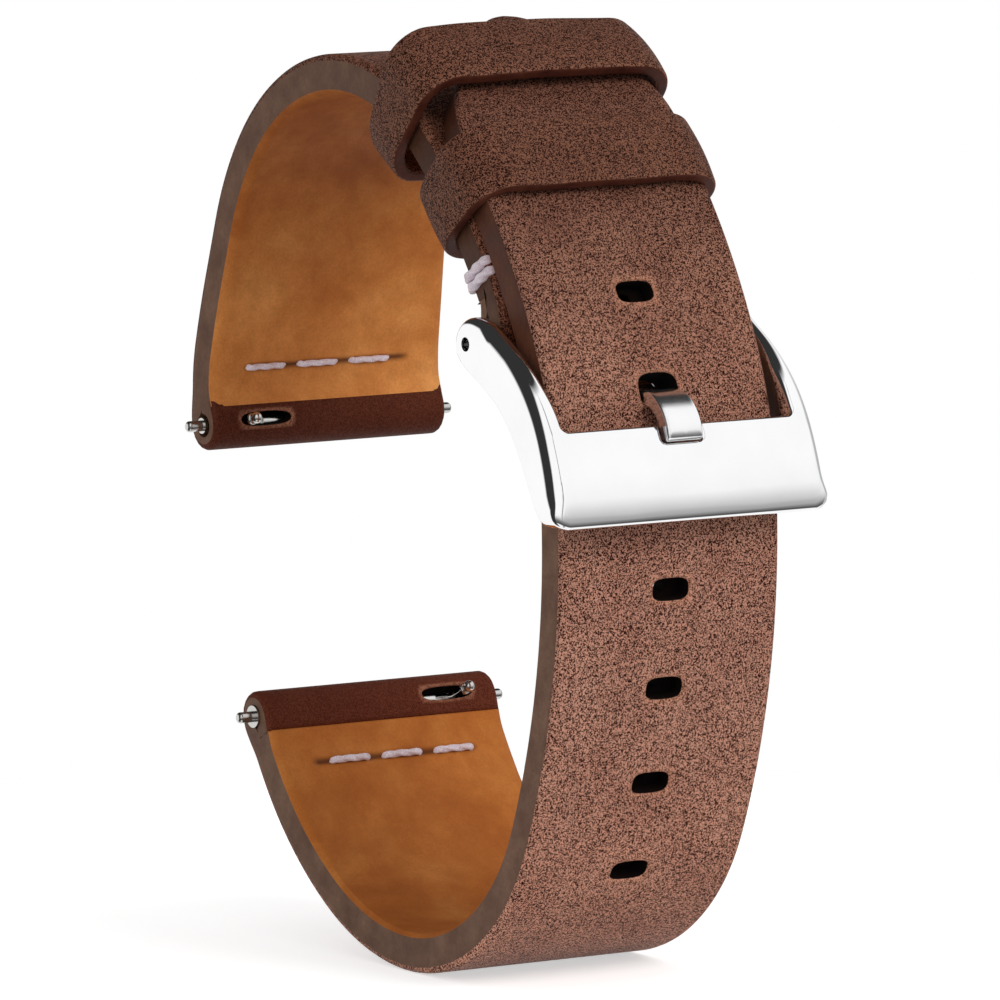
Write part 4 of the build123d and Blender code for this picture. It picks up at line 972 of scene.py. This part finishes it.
# a leather band closed round both straps: a rounded bar section carried round a rounded rectangle, then
# turned about the bend's centre by its place along the strap, thicker in the middle by a cosine and a little
# wavy at its rims. Its upper side is domed by one less the square of its place across, its lower side hangs
# down in proportion to its depth
def keeperPiece(name, centre, outerRadius, endAngle, size):
    half = stackGap / 2 + thickness / 2 + size["gap"] + keeper["thickness"] / 2
    wide = strap["buckleWidth"] / 2 + size["sideGap"] + keeper["thickness"] / 2
    halfLength = keeper["length"] / 2
    path, ways = roundedLoop(wide, half, size["corner"], keeper["pathCount"])
    section, ignored = roundedLoop(halfLength, keeper["thickness"] / 2, keeper["rimRound"],
                                   keeper["sectionCount"])
    along, lift = section[None, :, 0], section[None, :, 1]
    turn = np.linspace(0, 2 * np.pi, len(path) + 1)[:-1, None]
    slow, fast = np.sin(3 * turn + size["corner"]), np.sin(7 * turn)
    along = along * (1 + keeper["wave"] * slow + keeper["wave"] * fast)
    lift = lift + keeper["puff"] * np.cos(np.pi * along / keeper["length"]) * (lift > 0)
    x = path[:, :1] + ways[:, :1] * lift + size["shift"]
    middle = outerRadius - (stackGap + thickness) / 2
    dome = size["dome"] * (1 - (path[:, :1] / wide) ** 2) * (path[:, 1:] > 0)
    sag = size["sag"] * np.clip(-path[:, 1:] / half, 0, 1)
    radial = middle + path[:, 1:] + dome - sag + ways[:, 1:] * lift
    angle = np.radians(endAngle) - (along + halfLength) / outerRadius
    points = np.stack([x, centre[0] + radial * np.cos(angle), centre[1] + radial * np.sin(angle)], -1) * mm
    faces = gridFaces(len(path), len(section), True, True)
    onRim = np.abs(section[:, 0]) > halfLength - keeper["rimRound"] * keeper["rimShare"]
    rimFace = onRim[faces % len(section)].all(1)
    # the top face pales towards the rims: worn leather, and in part a painted highlight along the rim
    nearRim = np.clip((np.abs(section[:, 0]) - halfLength + keeper["wearReach"]) / keeper["wearFade"], 0, 1)
    wear = -np.tile(nearRim * (section[:, 1] > 0) * keeper["wear"], len(path))
    points = points.reshape(-1, 3)
    blocks = [(points, faces[~rimFace], 0, wear, 0.0), (points, faces[rimFace], 1, wear, 0.0)]
    return makeMesh(name, blocks, [keeperLeather, keeperRim], smoothAll)


tailCrestRadius, tailShoulderRadius = crestRadius + stackGap, shoulderRadius + stackGap
freeEnd = strap["tipAngle"] + np.degrees(freeSize["end"] / tailCrestRadius)
crestPart = tailCrestRadius * np.radians(crestEnd - strap["tipAngle"])
fixedEnd = crestEnd + np.degrees((fixedSize["end"] - crestPart) / tailShoulderRadius)
freeKeeper = keeperPiece("freeKeeper", crestCentre, tailCrestRadius, freeEnd, freeSize)
fixedKeeper = keeperPiece("fixedKeeper", shoulderCentre, tailShoulderRadius, fixedEnd, fixedSize)
settle(freeKeeper, "keeper", "free_keeper")
settle(fixedKeeper, "strap", "fixed_keeper")
print("keepers made")

# the buckle's frame. Lines in its side view are points (Y, Z) from the buckle bar
buckle = {
    "opening": 9.45, "pivotHalf": 11.1, "footHalf": 11.4, "plateTop": -5.18,
    "corner": 0.45, "footCorner": 1.3,
    "eye": (-0.6, 0.0), "eyeRadius": 1.88, "eyeFront": (-20, 10, 40, 70, 98), "eyeBack": (-20, -35, -50),
    "front": ((-1.9, 1.62), (-2.8, 1.1), (-5.05, -0.25), (-7.2, -1.95), (-9.15, -4.35), (-10.5, -7.15),
              (-11.2, -9.3), (-11.5, -10.7), (-11.55, -11.8)),
    "back": ((-0.5, -2.14), (-2.27, -3.1), (-4.51, -4.69), (-5.97, -6.35), (-7.12, -8.03), (-8.3, -9.9),
             (-9.2, -11.1), (-9.75, -11.75)),
    "plateBack": ((-7.9, -3.0), (-8.18, -5.1), (-8.5, -6.76), (-8.76, -8.2), (-8.9, -9.6), (-9.02, -11.8)),
    "plateStart": 1.5, "plateLimits": (0.6, 3.0), "armShare": 0.6,
    "notchHalf": 1.65, "notchDepth": 1.32, "notchCorner": 0.35,
    "eyeRound": (0.3, 0.35), "sideRound": (1.0, 1.3), "footRound": (0.42, 0.42),
    "armRound": 0.7, "windowRound": 0.3,
    "eyeBlend": (1.5, 4.5), "footBlend": (2.6, 2.0), "windowBlend": (4.5, 4.0), "eyeWindowRound": (0.3, 0.2),
    "sinkLimit": 0.46, "backRound": 0.45, "backLimit": 0.4, "backAngles": (90, 72, 54, 38, 26, 14, 0),
    "holeRadius": 0.5, "holeDepth": 1.4, "holePatch": 0.62,
}
frameGrid = {
    "sideCount": 600, "cornerCount": 15, "armRows": 70, "eyeRows": 10, "eyeReach": 0.6, "sideWallRows": 11,
    "fromOutline": np.array([0, 0.03, 0.09, 0.18, 0.3, 0.44, 0.6, 0.8, 1.02]),
    "toWindow": np.array([0.6, 0.42, 0.27, 0.16, 0.07, 0.02, 0]), "narrow": 1.66,
}


# a smooth line through points: cubic pieces along the chord, with equal slopes and bends where they meet
def splineThrough(points, count):
    points = np.array(points, float)
    run = runOf(points)
    step = np.diff(run)
    size = len(points)
    table = np.eye(size)
    wanted = np.zeros((size, 2))
    inside = np.arange(1, size - 1)
    table[inside, inside - 1], table[inside, inside + 1] = step[:-1], step[1:]
    table[inside, inside] = 2 * (step[:-1] + step[1:])
    slope = np.diff(points, axis=0) / step[:, None]
    wanted[1:-1] = 6 * np.diff(slope, axis=0)
    bend = np.linalg.solve(table, wanted)
    places = np.linspace(0, run[-1], count)
    piece = np.clip(np.searchsorted(run, places, side="right") - 1, 0, size - 2)
    left, right = (places - run[piece])[:, None], (run[piece + 1] - places)[:, None]
    long = step[piece][:, None]
    return ((bend[piece] * right**3 + bend[piece + 1] * left**3) / (6 * long)
            + (points[piece] / long - bend[piece] * long / 6) * right
            + (points[piece + 1] / long - bend[piece + 1] * long / 6) * left)


# one side line of the frame: an arc round the eye, then the points of the named line, evenly spaced
def frameLine(name, eyeAngles):
    eye = np.array(buckle["eye"]) + buckle["eyeRadius"] * unit(buckle[eyeAngles])
    line = splineThrough(np.concatenate([eye, buckle[name]]), frameGrid["sideCount"])
    return evenly(line, frameGrid["sideCount"])


# points at shares of the length of a line
def atShares(points, shares):
    run = runOf(points)
    return rowsAt(np.asarray(shares) * run[-1], run, points)


# three lines of (distance, across) that share their rows, in the frame laid flat: the window's outline with
# the notch, the outer outline, and the step behind the plate where it passes into the arms
def flatOutlines(top, foot, halfWidth):
    opening, corner, footCorner = buckle["opening"], buckle["corner"], buckle["footCorner"]
    notchHalf, notchFoot, notchCorner = buckle["notchHalf"], top + buckle["notchDepth"], buckle["notchCorner"]
    quarter = unit(np.linspace(0, 90, frameGrid["cornerCount"] + 1))[1:]

    # points after the start of a straight stretch, or of a rounded corner that turns from along to across
    def straight(start, end, count):
        return np.linspace(start, end, count + 1)[1:]

    def turned(start, radius):
        return start + radius * np.stack([quarter[:, 1], 1 - quarter[:, 0]], 1)

    def mirrored(line):
        return np.concatenate([line, (line[:-1] * (1, -1))[::-1]])

    eyeReach = frameGrid["eyeReach"]
    eyeRows = np.linspace(0, 1, frameGrid["eyeRows"]) ** 2 * eyeReach
    armRows = np.concatenate([eyeRows, straight(eyeReach, top - corner, frameGrid["armRows"] - 1)])
    window = mirrored(np.concatenate([
        np.stack([armRows, np.full(len(armRows), -opening)], 1),
        turned((top - corner, -opening), corner),
        straight((top, corner - opening), (top, -notchHalf), 24),
        straight((top, -notchHalf), (notchFoot - notchCorner, -notchHalf), 8),
        turned((notchFoot - notchCorner, -notchHalf), notchCorner),
        straight((notchFoot, notchCorner - notchHalf), (notchFoot, 0), 8),
    ]))
    sideRows = np.linspace(top - corner, foot - footCorner, 30)
    bend = turned((foot - footCorner, -halfWidth(foot)), footCorner)
    side = np.stack([sideRows, -halfWidth(sideRows)], 1)
    rest = np.concatenate([side, bend, straight(bend[-1], (foot, 0), 20)])
    cornerCount = frameGrid["cornerCount"]
    plateCount = (len(window) + 1) // 2 - len(armRows) - cornerCount
    run = runOf(rest)
    bendShare = run[len(sideRows) + len(bend) - 2] / run[-1]
    shares = np.concatenate([straight(0, bendShare, cornerCount), straight(bendShare, 1, plateCount)])
    outline = mirrored(np.concatenate([np.stack([armRows, -halfWidth(armRows)], 1), atShares(rest, shares)]))
    step = np.stack([outline[:, 0], np.clip(outline[:, 1], -opening, opening)], 1)
    inPlate = np.arange(len(step)) >= len(armRows)
    step[~(inPlate & inPlate[::-1])] = window[~(inPlate & inPlate[::-1])]
    return window, outline, step


# a pivot hole in one outer wall: the region of faces near the bar that it takes out, and the block that
# fills it. Rings lead from the region's border to a circle, then down to the hole's closed end
def pivotHole(wall, side):
    offset = np.hypot(wall[..., 1] / mm - buckleBar[0], wall[..., 2] / mm - buckleBar[1])
    near = (offset < buckle["holePatch"]) & (wall[..., 0] * side > 0)
    rowNear, columnNear = np.nonzero(near.any(1))[0], np.nonzero(near.any(0))[0]
    low = rowNear[0] - 1, max(columnNear[0] - 1, 0)
    high = rowNear[-1] + 1, min(columnNear[-1] + 1, wall.shape[1] - 1)
    border = borderOf(wall[low[0]:high[0] + 1, low[1]:high[1] + 1])
    around = np.degrees(np.arctan2(border[:, 2] / mm - buckleBar[1], border[:, 1] / mm - buckleBar[0]))
    circle = (buckleBar + buckle["holeRadius"] * unit(around)) * mm
    hole = np.concatenate([np.full((len(border), 1), border[:, 0].mean()), circle], 1)
    deep = hole - np.array([side * buckle["holeDepth"] * mm, 0, 0])
    middle = np.broadcast_to(deep.mean(0), deep.shape)
    share = np.linspace(0, 1, 7)[:, None, None]
    rings = np.concatenate([border + (hole - border) * share, hole + (deep - hole) * share[3::3],
                            [(deep + middle) / 2], [middle]])
    return low, high, (rings.reshape(-1, 3), gridFaces(len(rings), len(border), True), 0, 0.0, 0.0)


# one closed surface over two parameters. The first runs down one arm, across the plate and up the other arm;
# the second goes round the section: front, window wall, plate's back, step, arm's back, its rounded edge,
# outer wall. The front lies between the outer outline and the window's, and sinks near each by a quarter
# circle
def buckleFrame():
    front, back = frameLine("front", "eyeFront"), frameLine("back", "eyeBack")
    places = np.linspace(0, runOf(front)[-1], len(front))
    foot, lower = places[-1], len(front) // 2
    top = float(np.interp(-buckle["plateTop"], -front[lower:, 1], places[lower:]))

    def halfWidth(s):
        drop = np.interp(s, places, front[:, 1]) / front[-1, 1]
        return buckle["pivotHalf"] + (buckle["footHalf"] - buckle["pivotHalf"]) * np.clip(drop, 0, 1)

    window, outline, step = flatOutlines(top, foot, halfWidth)
    long = np.linalg.norm(window - outline, axis=1)[:, None]
    squeeze = np.minimum(1, long / frameGrid["narrow"])
    first, last = frameGrid["fromOutline"] * squeeze, long - frameGrid["toWindow"] * squeeze
    between = first[:, -1:] + (last[:, :1] - first[:, -1:]) * np.linspace(0, 1, 9)[1:-1]
    across = np.concatenate([first, between, last], 1) / np.maximum(long, 1e-9)

    # a grid of points from shares between two lines of the flat outline, sunk by a depth
    def sheet(low, high, shares, sink):
        spots = low[:, None] + (high - low)[:, None] * shares[..., None]
        flatSpots = spots.reshape(-1, 2)
        start = rowsAt(flatSpots[:, 0], places, front)
        way = rowsAt(flatSpots[:, 0], places, back) - start
        full = np.linalg.norm(way, axis=1)
        depth = np.minimum(sink(flatSpots, full), full)
        point = start + way * (depth / np.maximum(full, 1e-9))[:, None] + buckleBar
        return np.concatenate([flatSpots[:, 1:], point], 1).reshape(spots.shape[:2] + (3,)) * mm

    # the front's quarter circles: their width and depth go from the eye's to the side's to the foot's
    def frontSink(spots, full):
        low = smoothStep(spots[:, :1], foot - buckle["footBlend"][0], buckle["footBlend"][1])
        far = np.clip((spots[:, :1] - buckle["eyeBlend"][0]) / buckle["eyeBlend"][1], 0, 1)
        arm = np.array(buckle["eyeRound"]) * (1 - far) + np.array(buckle["sideRound"]) * far
        wide, deep = (arm * (1 - low) + np.array(buckle["footRound"]) * low).T
        near = smoothStep(spots[:, 0], top - buckle["windowBlend"][0], buckle["windowBlend"][1])
        inner = buckle["armRound"] + (buckle["windowRound"] - buckle["armRound"]) * near
        inner = np.minimum(inner, buckle["eyeWindowRound"][0] + buckle["eyeWindowRound"][1] * spots[:, 0])
        sunk = roundedDepth(lineGap(outline, spots), wide) * deep / wide
        sunk = np.maximum(sunk, roundedDepth(lineGap(window, spots), inner))
        return np.minimum(sunk, buckle["sinkLimit"] * full)

    # how deep the plate's back lies: the way inwards is followed to where it meets the plate's back line
    def plateDepth(spots, full):
        start = rowsAt(spots[:, 0], places, front)
        way = rowsAt(spots[:, 0], places, back) - start
        way = way / np.maximum(np.linalg.norm(way, axis=1, keepdims=True), 1e-9)
        line = np.array(buckle["plateBack"])
        depth = np.full(len(spots), buckle["plateStart"])
        for repeat in range(6):
            behind = np.interp(-(start[:, 1] + way[:, 1] * depth), -line[:, 1], line[:, 0])
            depth = np.clip((behind - start[:, 0]) / np.maximum(way[:, 0], 0.3), *buckle["plateLimits"])
        inArm = spots[:, 0] < top - buckle["corner"]
        return np.where(inArm, buckle["armShare"] * full, np.minimum(depth, full))

    # rows between two sheets' borders
    def wallBetween(start, end, count):
        return start[:, -1:] + (end[:, :1] - start[:, -1:]) * np.linspace(0, 1, count + 2)[1:-1, None]

    face = sheet(outline, window, across, frontSink)
    plateBack = sheet(window, step, np.tile(np.linspace(0, 1, 7), (len(step), 1)), plateDepth)
    stepLong = np.maximum(np.linalg.norm(outline - step, axis=1)[:, None], 1e-6)
    turnIn = unit(buckle["backAngles"])
    inward = np.minimum(buckle["backRound"], buckle["backLimit"] * stepLong) * (1 - turnIn[:, 0])
    armShares = np.linspace(0, 1, 8)[:-1] * (1 - inward[:, :1] / stepLong)
    armBack = sheet(step, outline, armShares, lambda spots, full: full)
    backEdge = np.concatenate([
        sheet(step, outline, 1 - inward[:, index:index + 1] / stepLong,
              lambda spots, full: full - np.minimum(buckle["backRound"], buckle["backLimit"] * full) * rise)
        for index, rise in enumerate(1 - turnIn[:, 1])], 1)
    outerWall = wallBetween(backEdge, face, frameGrid["sideWallRows"])
    windowWall, stepWall = wallBetween(face, plateBack, 3), wallBetween(plateBack, armBack, 3)
    grid = np.concatenate([face, windowWall, plateBack, stepWall, armBack, backEdge, outerWall], 1)
    columns = grid.shape[1]
    faces = gridFaces(len(grid), columns, True)
    wallStart = columns - frameGrid["sideWallRows"] - 1
    wall = np.concatenate([grid[:, wallStart:], grid[:, :1]], 1)
    blocks = []
    for side in (-1, 1):
        low, high, block = pivotHole(wall, side)
        taken = facesWithin(faces, columns, (low[0], wallStart + low[1]), (high[0], wallStart + high[1]))
        faces = faces[~taken]
        blocks.append(block)
    blocks.append((grid.reshape(-1, 3), faces, 0, 0.0, 0.0))
    return makeMesh("buckleFrame", blocks, [polishedSteel], 50.0)


settle(buckleFrame(), "frame", "buckle_frame")
print("buckle frame made")

tongue = {"edgeRound": 0.4, "edgeSegments": 4, "edgeAngle": 50.0}


# gives a CAD node a better material
def dress(node, material):
    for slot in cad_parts[node].material_slots:
        slot.link = "OBJECT"
        slot.material = material


# rounds the tongue's sharp edges, once its loose triangles are joined
def softenTongue():
    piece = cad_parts["buckle_tongue"]
    weld = piece.modifiers.new("weld", "WELD")
    weld.merge_threshold = 1e-6
    bevel = piece.modifiers.new("softEdges", "BEVEL")
    bevel.width, bevel.segments = tongue["edgeRound"] * mm, tongue["edgeSegments"]
    bevel.limit_method, bevel.angle_limit = "ANGLE", np.radians(tongue["edgeAngle"])


dress("buckle_tongue", tongueSteel)
softenTongue()
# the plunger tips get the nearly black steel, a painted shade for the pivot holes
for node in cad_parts:
    if "bar" in node:
        dress(node, plungerShadeSteel if node.startswith("buckle_bar_plunger") else barSteel)
print("hardware dressed")

studio = {
    "yaw": -33.0, "tilt": 6.88, "roll": -0.18, "aim": (0.0, -17.45, -4.3), "aimPixel": (450.0, 500.0),
    "pixelFocal": 9918.0, "pixelsPerMm": 14.118, "imageSize": 1000.0, "sensor": 36.0,
    "floorRadius": 90.0, "floorRings": 12, "floorSides": 96, "floorColour": 0.82, "floorGlow": 0.55,
    "worldLight": 0.55, "lampSize": 500.0, "keyPower": 3.6, "keyPlace": (250, -700, 550),
    "fillPower": 1.2, "fillPlace": (-800, -250, 300),
}
cadCentre = (cadBox[0] + cadBox[1]) / 2


def makeCamera():
    yaw, tilt, roll = (np.radians(studio[key]) for key in ("yaw", "tilt", "roll"))
    back = Vector((np.sin(yaw) * np.cos(tilt), -np.cos(yaw) * np.cos(tilt), np.sin(tilt)))
    side = Vector((np.cos(yaw), np.sin(yaw), 0))
    up = back.cross(side)
    right = side * np.cos(roll) + up * np.sin(roll)
    up = up * np.cos(roll) - side * np.sin(roll)
    distance = studio["pixelFocal"] / studio["pixelsPerMm"]
    aside = (studio["aimPixel"][0] - studio["imageSize"] / 2) / studio["pixelsPerMm"]
    above = (studio["imageSize"] / 2 - studio["aimPixel"][1]) / studio["pixelsPerMm"]
    place = (Vector(studio["aim"]) + back * distance - right * aside - up * above) * mm
    data = bpy.data.cameras.new("camera")
    data.sensor_width = studio["sensor"]
    data.lens = studio["pixelFocal"] / studio["imageSize"] * studio["sensor"]
    data.clip_start, data.clip_end = 0.01, 20
    camera = bpy.data.objects.new("camera", data)
    camera.matrix_world = Matrix.Translation(place) @ Matrix((right, up, back)).transposed().to_4x4()
    bpy.context.scene.collection.objects.link(camera)
    bpy.context.scene.camera = camera


# polished metal sees a white room with black cards in it. Each card is a darkness and a list of limits that
# are multiplied: a direction, and the cosines to it at which the card begins and is full
cards = {
    "left": (1.0, (((-0.42, 0.9, 0.0), 0.84, 0.74), ((0.42, -0.9, 0.0), 0.15, 0.0),
                   ((-0.9, -0.42, 0.0), 0.15, 0.3))),
    "overhead": (1.0, (((0.0, 0.5, 0.866), 0.62, 0.72),)),
    "behind": (0.75, (((0.54, 0.83, -0.12), 0.95, 0.985),)),
    "right": (0.55, (((0.975, 0.2, -0.08), 0.8, 0.95),)),
    "seam": (0.75, (((0.981, 0.195, 0.0), 0.07, 0.03), ((-0.981, -0.195, 0.0), 0.07, 0.03),
                    ((0.0, 1.0, 0.0), -0.3, -0.5))),
}
# a low card in front greys the plate's foot: its darkness by height, and where it begins
lowCard = {
    "height": ((0.0, 0.0, 1.0), 0.4, -0.8), "front": ((0.0, 1.0, 0.0), -0.1, -0.35),
    "stops": ((0.0, 0.0), (0.12, 0.06), (0.25, 0.36), (0.38, 0.64), (0.46, 0.78), (0.6, 0.9), (0.86, 0.96),
              (0.93, 0.0)),
}


# how much a direction sees of a card's limit: from 0 to 1 as its cosine to the limit's way goes from outer
# to inner
def limitShare(tree, way, middle, outer, inner):
    cosine = tree.nodes.new("ShaderNodeVectorMath")
    cosine.operation = "DOT_PRODUCT"
    feed(tree, cosine, {0: way, 1: middle})
    return rangeNode(tree, cosine.outputs["Value"], outer, inner)


# white to the camera, soft light on everything, and the room with its cards for polished metal
def makeWorld():
    world = bpy.data.worlds.new("studio")
    world.use_nodes = True
    bpy.context.scene.world = world
    tree = world.node_tree
    background = next(node for node in tree.nodes if node.type == "BACKGROUND")
    rays = tree.nodes.new("ShaderNodeLightPath")
    way = tree.nodes.new("ShaderNodeTexCoord").outputs["Generated"]
    low = rampNode(tree, limitShare(tree, way, *lowCard["height"]), lowCard["stops"])
    dark = mathNode(tree, "MULTIPLY", low, limitShare(tree, way, *lowCard["front"]))
    for darkness, limits in cards.values():
        card = darkness
        for limit in limits:
            card = mathNode(tree, "MULTIPLY", card, limitShare(tree, way, *limit))
        dark = mathNode(tree, "MAXIMUM", dark, card)
    metalSees = mixColour(tree, dark, 1.0, 0.03)
    lit = mixColour(tree, rays.outputs["Is Glossy Ray"], studio["worldLight"], metalSees)
    straight = mathNode(tree, "ADD", rays.outputs["Is Camera Ray"], rays.outputs["Is Transmission Ray"], True)
    feed(tree, background, {"Color": mixColour(tree, straight, lit, 1.0), "Strength": 1.0})


def makeFloor():
    sides = studio["floorSides"]
    angles = np.linspace(0, 360, sides + 1)[:-1]
    rings = np.linspace(0.02, 1, studio["floorRings"]) * studio["floorRadius"] * mm
    flatPoints = (np.array(cadCentre)[:2] + rings[:, None, None] * unit(angles)).reshape(-1, 2)
    points = np.concatenate([flatPoints, np.full((len(flatPoints), 1), cadBox[0][2])], 1)
    material, tree, shader = newMaterial("floor")
    rays = tree.nodes.new("ShaderNodeLightPath")
    glow = mathNode(tree, "MULTIPLY", rays.outputs["Is Camera Ray"], studio["floorGlow"])
    feed(tree, shader, {"Roughness": 0.9, "Base Color": rgba(studio["floorColour"]),
                        "Emission Color": rgba(1.0), "Emission Strength": glow})
    mesh = bpy.data.meshes.new("floor")
    mesh.from_pydata(points.tolist(), [], gridFaces(len(rings), sides, True).tolist() + [list(range(sides))])
    mesh.materials.append(material)
    floor = bpy.data.objects.new("floor", mesh)
    bpy.context.scene.collection.objects.link(floor)
    floor.visible_glossy = False  # metal sees the white room instead


def makeLamp(name, place, power):
    data = bpy.data.lights.new(name, "AREA")
    data.shape, data.size, data.energy = "DISK", studio["lampSize"] * mm, power
    lamp = bpy.data.objects.new(name, data)
    lamp.location = cadCentre + Vector(place) * mm
    lamp.rotation_mode = "QUATERNION"
    lamp.rotation_quaternion = (lamp.location - cadCentre).to_track_quat("Z", "Y")
    lamp.visible_glossy = False
    bpy.context.scene.collection.objects.link(lamp)


makeCamera()
makeWorld()
makeFloor()
makeLamp("keyLamp", studio["keyPlace"], studio["keyPower"])
makeLamp("fillLamp", studio["fillPlace"], studio["fillPower"])
bpy.context.scene.view_settings.view_transform = "Standard"
print("studio made")
